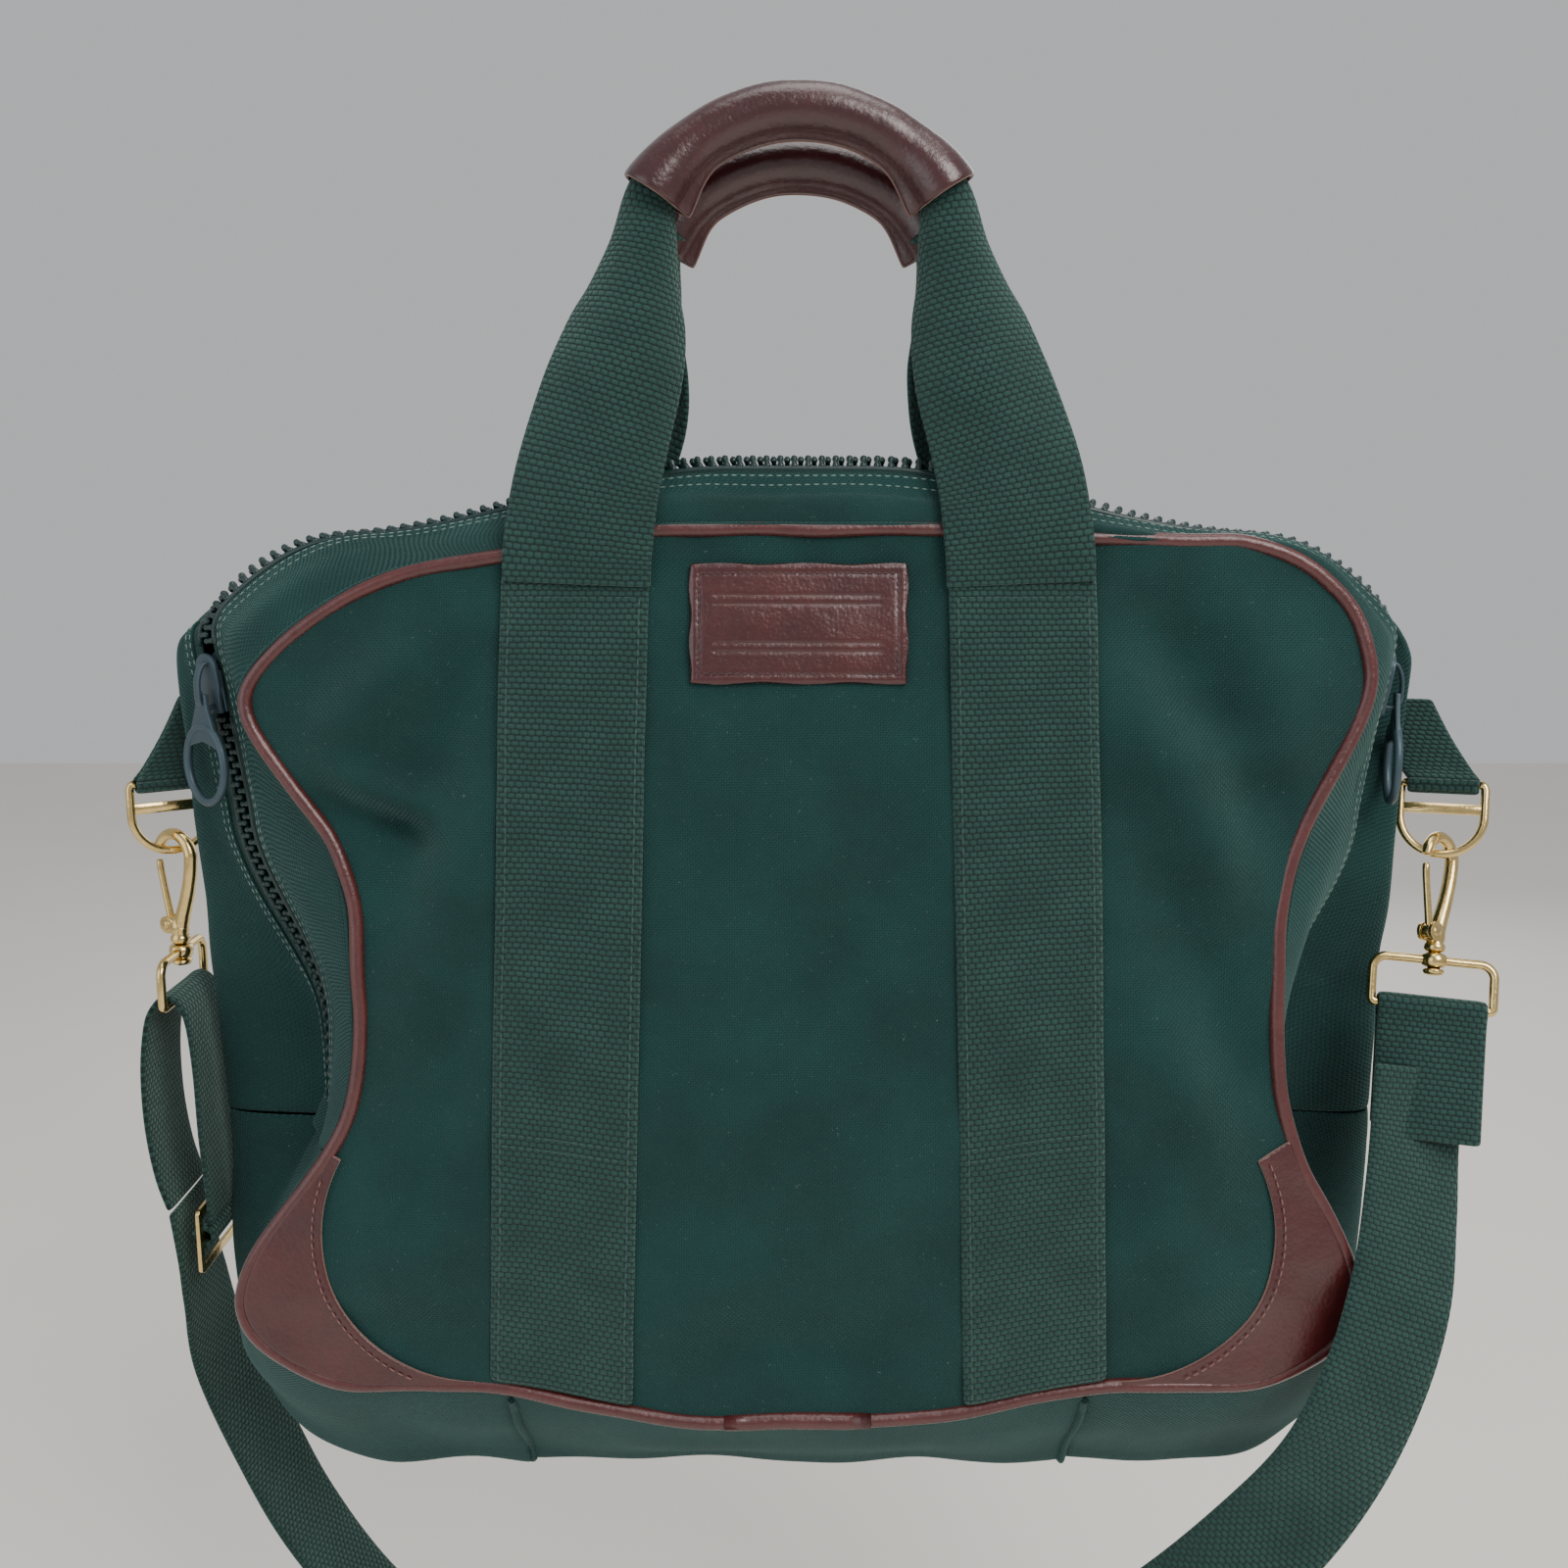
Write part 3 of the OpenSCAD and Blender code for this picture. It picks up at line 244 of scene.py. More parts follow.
M = {
    "canvas": canvas("canvas", (0.0042, 0.032, 0.031), (0.0075, 0.049, 0.046)),
    "lining": canvas("lining", (0.006, 0.04, 0.037), (0.01, 0.06, 0.054), 0.07),
    "webbing": webbing("webbing", (0.013, 0.042, 0.038), (0.023, 0.064, 0.057)),
    "tape": canvas("tape", (0.004, 0.027, 0.024), (0.007, 0.04, 0.036), 0.06),
    "piping": leather("piping", (0.062, 0.011, 0.011), (0.095, 0.019, 0.018), 0.3, 6.0, 0.35),
    "leather": leather("leather", (0.042, 0.005, 0.006), (0.072, 0.0085, 0.009), 0.2, 8.0, 0.5),
    "grip": leather("grip", (0.033, 0.005, 0.0065), (0.054, 0.008, 0.01), 0.22, 7.0, 0.5),
    "raw": plain("raw_edge", (0.19, 0.085, 0.062), 0.85, 0.3, 14, 0.0006),
    "teeth": plain("teeth", (0.006, 0.026, 0.025), 0.3, 0.0, 6, 0.0001),
    "slider": paint("slider", (0.035, 0.06, 0.075)),
    "brass": metal("brass", (0.75, 0.56, 0.24)),
    "rivet": metal("rivet", (0.6, 0.45, 0.2), 0.3),
    "thread_red": plain("thread_red", (0.045, 0.008, 0.01), 0.6, 0.3, 30),
    "thread_pale": plain("thread_pale", (0.16, 0.24, 0.21), 0.7, 0.3, 30),
    "thread_green": plain("thread_green", (0.012, 0.05, 0.042), 0.7, 0.3, 30),
    "thread_tan": plain("thread_tan", (0.2, 0.085, 0.07), 0.7, 0.3, 30),
}

BRASS, SLIDER, WEBBING = [M["brass"]], [M["slider"]], [M["webbing"]]

# ---------------------------------------------------------------- mesh helpers


def unit(v):
    v = np.asarray(v, float)
    n = np.linalg.norm(v, axis=-1, keepdims=True)
    return v / np.where(n < 1e-9, 1, n)


def smooth(t):
    c = np.clip(t, 0, 1)
    return c * c * (3 - 2 * c)


def lerp(a, b, t):
    return a + (b - a) * t


def new_mesh(name, verts, faces, uvs, mats, index=None):
    """verts in millimetres; uvs one (u, v) in centimetres for each corner of each face."""
    me = bpy.data.meshes.new(name)
    me.from_pydata((np.asarray(verts) * MM).tolist(), [], faces)
    layer = me.uv_layers.new(name="UVMap")
    layer.data.foreach_set("uv", np.asarray(uvs, np.float32).ravel())
    for m in mats:
        me.materials.append(m)
    if index is not None:
        me.polygons.foreach_set("material_index", np.asarray(index, np.int32))
    me.polygons.foreach_set("use_smooth", [True] * len(me.polygons))
    me.update()
    ob = bpy.data.objects.new(name, me)
    bpy.context.scene.collection.objects.link(ob)
    return ob


def grid(name, P, mats, thickness=0.0, sub=0, rim=0, closed=False, uv=None, offset=0.0):
    """Surface through a grid of points P[i][j], with a thickness, and UVs by length in cm."""
    P = np.asarray(P, float)
    n, m = P.shape[:2]
    if uv is None:
        du = np.r_[0, np.cumsum(np.linalg.norm(np.diff(P, axis=0), axis=2).mean(1))]
        dv = np.r_[0, np.cumsum(np.linalg.norm(np.diff(P, axis=1), axis=2).mean(0))]
        uv = np.stack(np.meshgrid(du, dv - dv[-1] / 2, indexing="ij")[::-1], -1) / 10
    faces, corners = [], []
    for i in range(n if closed else n - 1):
        k = (i + 1) % n
        for j in range(m - 1):
            faces.append((i * m + j, k * m + j, k * m + j + 1, i * m + j + 1))
            a, b = uv[i, j], uv[i, j + 1]
            c, d = (uv[k, j], uv[k, j + 1]) if k else (uv[i, j] + [0, 0.3], uv[i, j + 1] + [0, 0.3])
            corners += [a, c, d, b]
    ob = new_mesh(name, P.reshape(-1, 3), faces, corners, mats)
    if thickness:
        s = ob.modifiers.new("thick", "SOLIDIFY")
        s.thickness = thickness * MM
        s.offset = offset
        s.use_even_offset = False
        s.material_offset_rim = rim
    if sub:
        s = ob.modifiers.new("sub", "SUBSURF")
        s.levels = s.render_levels = sub
    return ob


def apply(ob):
    """Applies the modifiers, so that the mesh is final."""
    dg = bpy.context.evaluated_depsgraph_get()
    me = bpy.data.meshes.new_from_object(ob.evaluated_get(dg))
    ob.modifiers.clear()
    ob.data = me
    return ob


def frames_along(pts, closed, up):
    """Tangents, and two directions across, carried along a path without twist."""
    pts = np.asarray(pts, float)
    t = unit(np.roll(pts, -1, 0) - np.roll(pts, 1, 0) if closed else np.gradient(pts, axis=0))
    u = np.asarray(up, float)
    u = unit(u - t[0] * (u @ t[0]))
    out = []
    for k in range(len(pts)):
        u = unit(u - t[k] * (u @ t[k]))
        out.append(u)
    u = np.array(out)
    return t, u, np.cross(t, u)


def tube(name, pts, r, mats, sides=14, closed=False, up=(0, 1, 0)):
    """Round tube along a path; r is one radius or one for each point."""
    pts = np.asarray(pts, float)
    n = len(pts)
    r = np.full(n, float(r)) if np.isscalar(r) else np.asarray(r, float)
    t, u, v = frames_along(pts, closed, up)
    a = np.linspace(0, 2 * math.pi, sides, endpoint=False)
    ring = u[:, None] * np.cos(a)[None, :, None] + v[:, None] * np.sin(a)[None, :, None]
    P = pts[:, None] + ring * r[:, None, None]
    length = np.r_[0, np.cumsum(np.linalg.norm(np.diff(pts, axis=0), axis=1))] / 10
    verts = P.reshape(-1, 3).tolist()
    faces, uvs = [], []
    girth = 2 * math.pi * r.mean() / 10
    for i in range(n if closed else n - 1):
        k = (i + 1) % n
        li, lk = length[i], length[k] if k else length[i] + 0.3
        for j in range(sides):
            q = (j + 1) % sides
            faces.append((i * sides + j, i * sides + q, k * sides + q, k * sides + j))
            g0, g1 = girth * j / sides, girth * (j + 1) / sides
            uvs += [(g0, li), (g1, li), (g1, lk), (g0, lk)]
    if not closed:
        for base, end, rev in ((0, 0, True), ((n - 1) * sides, n - 1, False)):
            dome = pts[end] + (-t[end] if rev else t[end]) * r[end] * 0.35
            inner = len(verts)
            verts += (pts[end] + (P[end] - pts[end]) * 0.72 + (dome - pts[end]) * 0.75).tolist()
            verts.append(dome.tolist())
            for j in range(sides):
                q = (j + 1) % sides
                f = [(base + j, base + q, inner + q, inner + j), (inner + j, inner + q, len(verts) - 1)]
                for g in f:
                    faces.append(g[::-1] if not rev else g)
                    uvs += [(0.1 * x, 0.1 * y) for x, y in ((0, 0), (1, 0), (1, 1), (0, 1))[:len(g)]]
    return new_mesh(name, verts, faces, uvs, mats)


def spline(points, steps):
    """Smooth path through control points."""
    p = np.asarray(points, float)
    out = []
    for i in range(len(p) - 1):
        a, b, c, d = p[max(i - 1, 0)], p[i], p[i + 1], p[min(i + 2, len(p) - 1)]
        for k in range(steps):
            t = k / steps
            out.append(0.5 * (2 * b + (c - a) * t + (2 * a - 5 * b + 4 * c - d) * t * t
                              + (3 * b - a - 3 * c + d) * t ** 3))
    out.append(p[-1])
    return np.array(out)


def join(name, parts):
    """One object from several, with their materials."""
    mats, verts, faces, uvs, index = [], [], [], [], []
    for o in parts:
        o = apply(o)
        me = o.data
        base = len(verts)
        verts += [list(v.co) for v in me.vertices]
        slots = []
        for m in me.materials:
            if m not in mats:
                mats.append(m)
            slots.append(mats.index(m))
        layer = me.uv_layers[0].data
        for p in me.polygons:
            faces.append([base + v for v in p.vertices])
            uvs += [tuple(layer[k].uv) for k in p.loop_indices]
            index.append(slots[p.material_index])
        bpy.data.objects.remove(o)
        bpy.data.meshes.remove(me)
    return new_mesh(name, np.array(verts) / MM, faces, uvs, mats, index)


def scatter(name, template, places, mats):
    """One mesh of many copies: template (verts, faces), places [(origin, three axes)]."""
    tv, tf = np.asarray(template[0], float), template[1]
    verts = np.concatenate([o + tv @ np.asarray(a) for o, a in places])
    faces = [tuple(v + k * len(tv) for v in f) for k in range(len(places)) for f in tf]
    flat = tv[:, :2] / 10
    uvs = [tuple(flat[v] + [0.37 * k, 0.11 * k]) for k in range(len(places)) for f in tf for v in f]
    return new_mesh(name, verts, faces, uvs, mats)


def blob(rings, sides):
    """Closed turned shape along x: rings of (x, ry, rz)."""
    verts, faces = [(rings[0][0] - 0.15 * rings[0][1], 0, 0)], []
    for x, ry, rz in rings:
        for k in range(sides):
            a = 2 * math.pi * k / sides
            verts.append((x, ry * math.cos(a), rz * math.sin(a)))
    verts.append((rings[-1][0] + 0.15 * rings[-1][1], 0, 0))
    for k in range(sides):
        q = (k + 1) % sides
        faces.append((0, 1 + q, 1 + k))
        for i in range(len(rings) - 1):
            a = 1 + i * sides
            faces.append((a + k, a + q, a + sides + q, a + sides + k))
        a = 1 + (len(rings) - 1) * sides
        faces.append((a + k, a + q, len(verts) - 1))
    return verts, faces


STITCH = blob([(-1.0, 0.32, 0.26), (-0.6, 0.75, 0.6), (0, 1, 0.8), (0.6, 0.75, 0.6), (1.0, 0.32, 0.26)], 6)


def along(s, lengths, values):
    """Values at the length s along a path."""
    return np.array([np.interp(s, lengths, values[:, k]) for k in range(3)])


def stitches(name, pts, normals, mat, pitch=3.0, length=2.2, r=0.32, lift=0.12):
    """A row of stitches along a path that lies on a surface."""
    pts, normals = np.asarray(pts, float), unit(normals)
    d = np.r_[0, np.cumsum(np.linalg.norm(np.diff(pts, axis=0), axis=1))]
    places = []
    for s in np.arange(pitch / 2, d[-1] - pitch / 2, pitch):
        p, n = along(s, d, pts), unit(along(s, d, normals))
        t = unit(along(s + 0.8, d, pts) - p)
        w = unit(np.cross(n, t))
        places.append((p + n * lift, [t * length / 2, w * r, n * r]))
    return scatter(name, STITCH, places, [mat])


def grid_normals(P):
    return unit(np.cross(np.gradient(P, axis=0), np.gradient(P, axis=1)))


def piece(ob, body, *nodes, slot=None):
    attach(ob, body)
    if nodes:
        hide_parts(*nodes)
    return ob


# ---------------------------------------------------------------- shape of the bag, in millimetres

PANEL_W, PANEL_H, TOP_DROP = 394.0, 312.0, 128.0
DEPTH_TOP, DEPTH_BOTTOM = 36.0, 104.0
Z_TOP, HALF_W = -TOP_DROP, PANEL_W / 2
Z_BOTTOM = Z_TOP - PANEL_H
FINE = 3
N_TOP, N_ARC, N_SIDE, N_BOTTOM = 6 * FINE, 6 * FINE, 14 * FINE, 12 * FINE
N_LOOP = 2 * N_TOP + 4 * N_ARC + 2 * N_SIDE + N_BOTTOM
I_SIDE_R = N_TOP + N_ARC
I_BOTTOM = I_SIDE_R + N_SIDE + N_ARC
I_SIDE_L = I_BOTTOM + N_BOTTOM + N_ARC
I_END_R, I_END_L = I_SIDE_R + 10 * FINE, I_SIDE_L + 4 * FINE
I_SLIDE_R, I_SLIDE_L = I_SIDE_R + FINE, I_SIDE_L + 13 * FINE
I_SEAM_R, I_SEAM_L = I_BOTTOM + 2 * FINE, I_BOTTOM + N_BOTTOM - 2 * FINE
PINCH_MIDDLE, PINCH_REACH, PINCH_LEFT, PINCH_RIGHT = Z_TOP - PANEL_H * 0.51, PANEL_H * 0.36, 44, 30
CORNER_LIFT, ZIP_FALL, ZIP_SLOPE = 13, 26, 0.15
GUSSET_RISE, GUSSET_SAG = 24, 47
HALF_WEB, WEB_T, STRAP_W, CLOTH_T = 25.4, 2.2, 38, 1.2
PATCH_X, PATCH_Z, PATCH_R = 114.0, -372.0, 53.0
SIDES = ((LEFT, "left"), (RIGHT, "right"))
FACES = ((FRONT, "front"), (BACK, "back"))
MIDDLE = np.array([0, (Z_TOP + Z_BOTTOM) / 2])


def outline(hw, zt, zb, rl, rr, rb):
    """Rounded rectangle from its top's middle clockwise: half width, top, bottom, three radii."""
    def line(a, b, n):
        k = np.arange(n)[:, None] / n
        return np.array(a, float) + (np.array(b, float) - np.array(a, float)) * k

    def arc(c, r, a0, a1):
        a = np.radians(a0 + (a1 - a0) * np.arange(N_ARC) / N_ARC)
        return np.array(c, float) + r * np.stack([np.cos(a), np.sin(a)], 1)

    return np.concatenate([
        line([0, zt], [hw - rr, zt], N_TOP), arc([hw - rr, zt - rr], rr, 90, 0),
        line([hw, zt - rr], [hw, zb + rb], N_SIDE), arc([hw - rb, zb + rb], rb, 0, -90),
        line([hw - rb, zb], [-hw + rb, zb], N_BOTTOM), arc([-hw + rb, zb + rb], rb, -90, -180),
        line([-hw, zb + rb], [-hw, zt - rl], N_SIDE), arc([-hw + rl, zt - rl], rl, 180, 90),
        line([-hw + rl, zt], [0, zt], N_TOP)])


def half_depth(z):
    return lerp(DEPTH_TOP, DEPTH_BOTTOM, (Z_TOP - z) / PANEL_H) / 2


def corner_lift(x):
    """How far the bottom edge of a panel rises towards its corners."""
    return CORNER_LIFT * smooth((np.abs(x) - 30) / 90)


def pinched(p, k):
    """An outline drawn in at its waist, with its top corners dropped and its bottom ones lifted."""
    x, z = p[:, 0], p[:, 1]
    off = np.minimum(1, np.abs(z - PINCH_MIDDLE) / PINCH_REACH)
    shape = 1 - np.sin(np.radians(90 * off)) ** 4
    nx = x - np.sign(x) * np.where(x < 0, PINCH_LEFT, PINCH_RIGHT) * k * shape
    drop = np.where(nx < 0, 12, 4) * smooth((np.abs(nx) - 40) / 90) * smooth((z - Z_TOP + 70) / 60)
    return np.stack([nx, z - drop + corner_lift(nx) * smooth((Z_BOTTOM + 50 - z) / 50)], 1)


def panel_outline(k):
    return pinched(outline(HALF_W, Z_TOP, Z_BOTTOM, 84, 50, 44), k)


BACK_PINCH = 0.25
# The two panels' outlines, which the piping follows.
front2, back2 = panel_outline(1.0), panel_outline(BACK_PINCH)
RING_F = np.stack([front2[:, 0], -half_depth(front2[:, 1]), front2[:, 1]], 1)
RING_B = np.stack([back2[:, 0], half_depth(back2[:, 1]), back2[:, 1]], 1)


def zip_droop(x, z):
    return ZIP_FALL * smooth((np.abs(x) - 25) / 140) * smooth((z - Z_TOP + 60) / 80)


def zip_draw_in(z):
    zs, zt, zl = Z_TOP - 37, Z_TOP - 100, Z_TOP - 216
    return ((ZIP_SLOPE * np.minimum(np.maximum(zs - z, 0), zs - zt) + 26 * smooth((zt - z) / 80))
            * (1 - smooth((zl - z) / 75)))


# The zipper's middle line and the gusset's bulge behind it.
x, z = outline(HALF_W + 14, Z_TOP + GUSSET_RISE, Z_BOTTOM - GUSSET_SAG, 52, 52, 56).T
RING_Z = np.stack([x - np.sign(x) * zip_draw_in(z), 0 * x, z - zip_droop(x, z)], 1)
x, z = outline(HALF_W + 26, Z_TOP + GUSSET_RISE / 2, Z_BOTTOM - 0.72 * GUSSET_SAG, 64, 64, 54).T
RING_K = np.stack([x, 0.5 * half_depth(z), z - zip_droop(x, z)], 1)

# Share of the zipper being open, and of its tapes being held flat by a slider.
index = np.arange(N_LOOP)
top_index = np.minimum(index, N_LOOP - index) / FINE
OPEN = 1 - smooth((top_index - 5) / 7)
past = top_index - 12
FLAT = np.where(past < -3, 0, np.where(past < 0, smooth((past + 3) / 3), 1 - smooth((past - 5) / 4)))
SIDE_OF = np.where(index < N_LOOP / 2, RIGHT, LEFT)


def slide_dir(side):
    return unit(np.array([-side * ZIP_SLOPE, 0, -1]))


def across_dir(side):
    y = math.radians(38 if side == LEFT else 78)
    d, a = slide_dir(side), np.array([side * math.cos(y), math.sin(y), 0])
    return unit(a - d * (a @ d))


def face_dir(side):
    return side * np.cross(slide_dir(side), across_dir(side))


ACROSS = np.array([across_dir(s) for s in SIDE_OF])
TAPE_W, TAPE_IN, MOUTH_GAP = 15.0, 7.8, 6.5


def tape_dir(edge, s):
    return unit(lerp(unit(edge - RING_Z), s * ACROSS, FLAT[:, None]))


gap = OPEN[:, None] * [0, MOUTH_GAP, 0]
DF, DB = tape_dir(RING_F, FRONT), tape_dir(RING_B, BACK)
ZF, ZB = RING_Z - gap, RING_Z + gap
F1, B1 = ZF + DF * TAPE_IN, ZB + DB * TAPE_IN
F2 = F1 + unit(lerp(DF, unit(RING_F - F1), 0.6)) * (TAPE_W - TAPE_IN)
B2 = B1 + unit(lerp(DB, unit(RING_K - B1), 0.6)) * (TAPE_W - TAPE_IN)
OUT = unit((RING_Z - RING_F) * [1, 0, 1])
MID = lerp(RING_F, F2, 0.5) + OUT * 3


def rows(i0, i1, *cols):
    """Grid of the named columns between two stations, going clockwise."""
    i = np.arange(i0, i1 + 1) % N_LOOP
    return np.stack([c[i] for c in cols], 1)


def across(P, steps):
    """Smooth resampling of a grid across its columns."""
    return np.stack([spline(r, steps) for r in P])


def wobble(P, amp, scale, seed, normals=None):
    """Moves a grid along its normals by soft noise."""
    N = grid_normals(P) if normals is None else normals
    d = np.array([[noise.noise(Vector(p) * scale + Vector((seed, 0, seed))) for p in r] for r in P])
    return P + N * (d * amp)[..., None]


# Soft folds of the panels: (x0, z0, x1, z1, half width, height outwards).
FOLDS = {
    FRONT: [(-112, -165, -148, -262, 13, -4.5), (-128, -160, -172, -212, 12, 3.5),
            (-176, -206, -122, -226, 7, 5.5), (-170, -218, -126, -238, 6, -5.0),
            (-108, -215, -142, -330, 15, 4.0), (-120, -250, -128, -372, 12, -3.0),
            (118, -150, 168, -232, 15, -5.0), (112, -178, 158, -262, 13, 4.0),
            (186, -206, 128, -206, 9, 3.0), (118, -232, 160, -318, 14, -3.5),
            (114, -290, 158, -352, 13, 3.0), (-42, -192, 26, -262, 20, 2.4),
            (34, -190, 4, -300, 20, -2.0), (-30, -300, 34, -384, 24, 2.2),
            (-46, -410, 46, -416, 12, -2.0), (-20, -372, -48, -420, 14, 1.8),
            (-150, -400, -104, -352, 15, 3.0), (152, -404, 116, -352, 15, 3.0)],
    BACK: [(-120, -160, -170, -240, 15, -4.0), (120, -150, 176, -230, 15, -4.0),
           (-180, -240, -128, -250, 9, 4.0), (182, -262, 124, -262, 9, 3.5),
           (-112, -250, -150, -350, 16, 3.5), (112, -260, 150, -350, 16, 3.0),
           (-40, -190, 30, -290, 24, 3.0), (36, -300, -20, -400, 24, -2.5)],
}


RING_OF = {FRONT: RING_F, BACK: RING_B}


def ring_distance(x, z, ring):
    d = np.full(np.shape(x), 1e9)
    for a in ring:
        d = np.minimum(d, np.hypot(x - a[0], z - a[2]))
    return d


def panel_y(face, x, z):
    """How far out a panel lies: its lean, a soft fullness, and its folds, fading to the piping."""
    x, z = np.asarray(x, float), np.asarray(z, float)
    ring = RING_OF[face]
    edge = smooth(ring_distance(x, z, ring) / 34)
    h = 3.2 * edge * np.sin(np.clip((Z_TOP - z) / PANEL_H, 0, 1) * math.pi)
    for x0, z0, x1, z1, w, a in FOLDS[face]:
        dx, dz = x1 - x0, z1 - z0
        L2 = dx * dx + dz * dz
        t = ((x - x0) * dx + (z - z0) * dz) / L2
        off = np.hypot(x - x0 - dx * np.clip(t, 0, 1), z - z0 - dz * np.clip(t, 0, 1))
        h = h + 1.7 * a * np.exp(-(off / w) ** 2) * smooth((1.25 - np.abs(t - 0.5) * 2) / 0.9)
    return face * (half_depth(z) + h * (0.25 + 0.75 * edge) * smooth(ring_distance(x, z, ring) / 9))


def on_face(face, x, z, lift=0.0):
    """Points on a panel, lifted off along its outward direction."""
    x, z = np.broadcast_arrays(np.asarray(x, float), np.asarray(z, float))
    y = panel_y(face, x, z)
    gx = panel_y(face, x + 1.0, z) - y
    gz = panel_y(face, x, z + 1.0) - y
    n = unit(np.stack([-gx * face, np.full(x.shape, 1.0) * face, -gz * face], -1))
    return np.stack([x, y, z], -1) + n * lift, n


# ---------------------------------------------------------------- panels, gusset, piping


def patch_of(ring, i0, n, steps):
    """A side of the panel's grid: n stations of its outline from i0, steps times as fine."""
    i = i0 + np.arange(n * steps + 1) / steps
    lo = np.floor(i).astype(int)
    t = (i - lo)[:, None]
    return lerp(ring[lo % N_LOOP][:, [0, 2]], ring[(lo + 1) % N_LOOP][:, [0, 2]], t)


def panel_grid(face, steps):
    """Even grid over a panel, between the four sides of its outline."""
    ring = RING_OF[face]
    half = N_ARC // 2
    top = patch_of(ring, -N_TOP - half, 2 * N_TOP + N_ARC, steps)
    right = patch_of(ring, N_TOP + half, N_SIDE + N_ARC, steps)
    bottom = patch_of(ring, I_BOTTOM - half, N_BOTTOM + N_ARC, steps)[::-1]
    left = patch_of(ring, I_SIDE_L - half, N_SIDE + N_ARC, steps)[::-1]
    u = np.linspace(0, 1, len(top))[:, None, None]
    v = np.linspace(0, 1, len(right))[None, :, None]
    G = (1 - v) * top[:, None] + v * bottom[:, None] + (1 - u) * left[None] + u * right[None]
    corners = (1 - v) * ((1 - u) * top[0] + u * top[-1]) + v * ((1 - u) * bottom[0] + u * bottom[-1])
    return G - corners


def build_panel(face, node):
    G = MIDDLE + (panel_grid(face, 2) - MIDDLE) * 0.992
    P, _ = on_face(face, G[..., 0], G[..., 1])
    P = wobble(P, 1.6, 0.022, 3 if face == FRONT else 9)
    P = wobble(P, 0.5, 0.07, 5 if face == FRONT else 12)
    uv = G / 10
    if face == FRONT:
        P, uv = P[:, ::-1], uv[:, ::-1]
    ob = grid(node + "_cloth", P, [M["canvas"], M["lining"]], CLOTH_T, 1, uv=uv)
    piece(ob, "root", node, slot="canvas")


for face, f in FACES:
    build_panel(face, f + "_panel")


def gusset(node, P, seed, amp=2.2, steps=5):
    """Cloth of the gusset through a grid of points; returns its grid and outward directions."""
    P = across(P, steps)
    n = grid_normals(P)
    fade = np.minimum(np.arange(P.shape[1]), np.arange(P.shape[1])[::-1]) / 5
    P = P + n * 0.9
    P = lerp(P, wobble(P, amp, 0.03, seed), smooth(fade)[None, :, None])
    piece(grid(node + "_cloth", P, [M["canvas"]], CLOTH_T, 1), "root", node, slot="canvas")
    return P, n


EDGE_F = np.where(FLAT[:, None] > 0.5, ZF + DF * 8.3, ZF + DF * 7.0)
EDGE_B = ZB + DB * 8.3
top_front, nf = gusset("gusset_top_front", rows(I_END_L, I_END_R + N_LOOP, RING_F, MID, F2, EDGE_F), 2)
top_back, nb = gusset("gusset_top_back", rows(I_END_L, I_END_R + N_LOOP, EDGE_B, B2, RING_K, RING_B), 5)
fold_cols = (RING_F, MID, F2, F1, RING_Z, B1, B2, RING_K, RING_B)
gusset("gusset_side_right", rows(I_END_R, I_SEAM_R, *fold_cols), 8, 3, 4)
gusset("gusset_side_left", rows(I_SEAM_L, I_END_L, *fold_cols), 11, 3, 4)
bottom, _ = gusset("gusset_bottom", rows(I_SEAM_R, I_SEAM_L, *fold_cols), 14, 3, 4)

# Two rows of pale stitching along each edge of the gusset beside the zipper.
for name, P, n, cols in (("stitch_zip_front", top_front, nf, (-2, -4)),
                         ("stitch_zip_back", top_back, nb, (1, 3))):
    for k, c in enumerate(cols):
        row = stitches("%s_%d" % (name, k), P[:, c], n[:, c], M["thread_pale"], 3.1, 1.9, 0.24, 0.62)
        piece(row, "root")

# Rolled seams across the gusset, where its bottom piece is let in, and a rim by the piping.
for name, P in (("seam_right", bottom[0]), ("seam_left", bottom[-1])):
    piece(tube(name, P[1:-1] - [0, 0, 0.5], 1.5, [M["canvas"]], 10), "root", slot="canvas")
for name, P, n in (("rim_front", top_front[:, 1], nf[:, 1]), ("rim_back", top_back[:, -2], nb[:, -2])):
    piece(tube(name, P + n * 0.4, 0.95, [M["canvas"]], 8), "root", slot="canvas")


def piping(face, f):
    """Piping round a panel, and the short sleeve where its ends meet below."""
    P = RING_OF[face]
    P = P + np.array([[noise.noise(Vector(p) * 0.05) * 0.8 for _ in range(3)] for p in P])
    ob = tube("piping_%s_leather" % f, P, 2.65, [M["piping"]], 14, True)
    sub = ob.modifiers.new("sub", "SUBSURF")
    sub.levels = sub.render_levels = 1
    piece(ob, "root", "piping_" + f, slot="piping")
    mid = I_BOTTOM + N_BOTTOM // 2
    ob = tube("piping_sleeve_" + f, P[mid - 3:mid + 4], SLEEVE_R, [M["piping"]], 16)
    piece(ob, "root", "piping_joint_" + f, slot="leather")


SLEEVE_R = np.array([2.85, 3.15, 3.2, 3.2, 3.2, 3.15, 2.85])
for face, f in FACES:
    piping(face, f)

# ---------------------------------------------------------------- zipper

TOOTH = blob([(0.0, 0.95, 1.1), (0.5, 1.25, 1.5), (1.9, 1.15, 1.4), (2.5, 0.85, 1.15), (3.2, 1.2, 1.45),
              (4.0, 1.3, 1.5), (4.6, 0.85, 1.0)], 8)


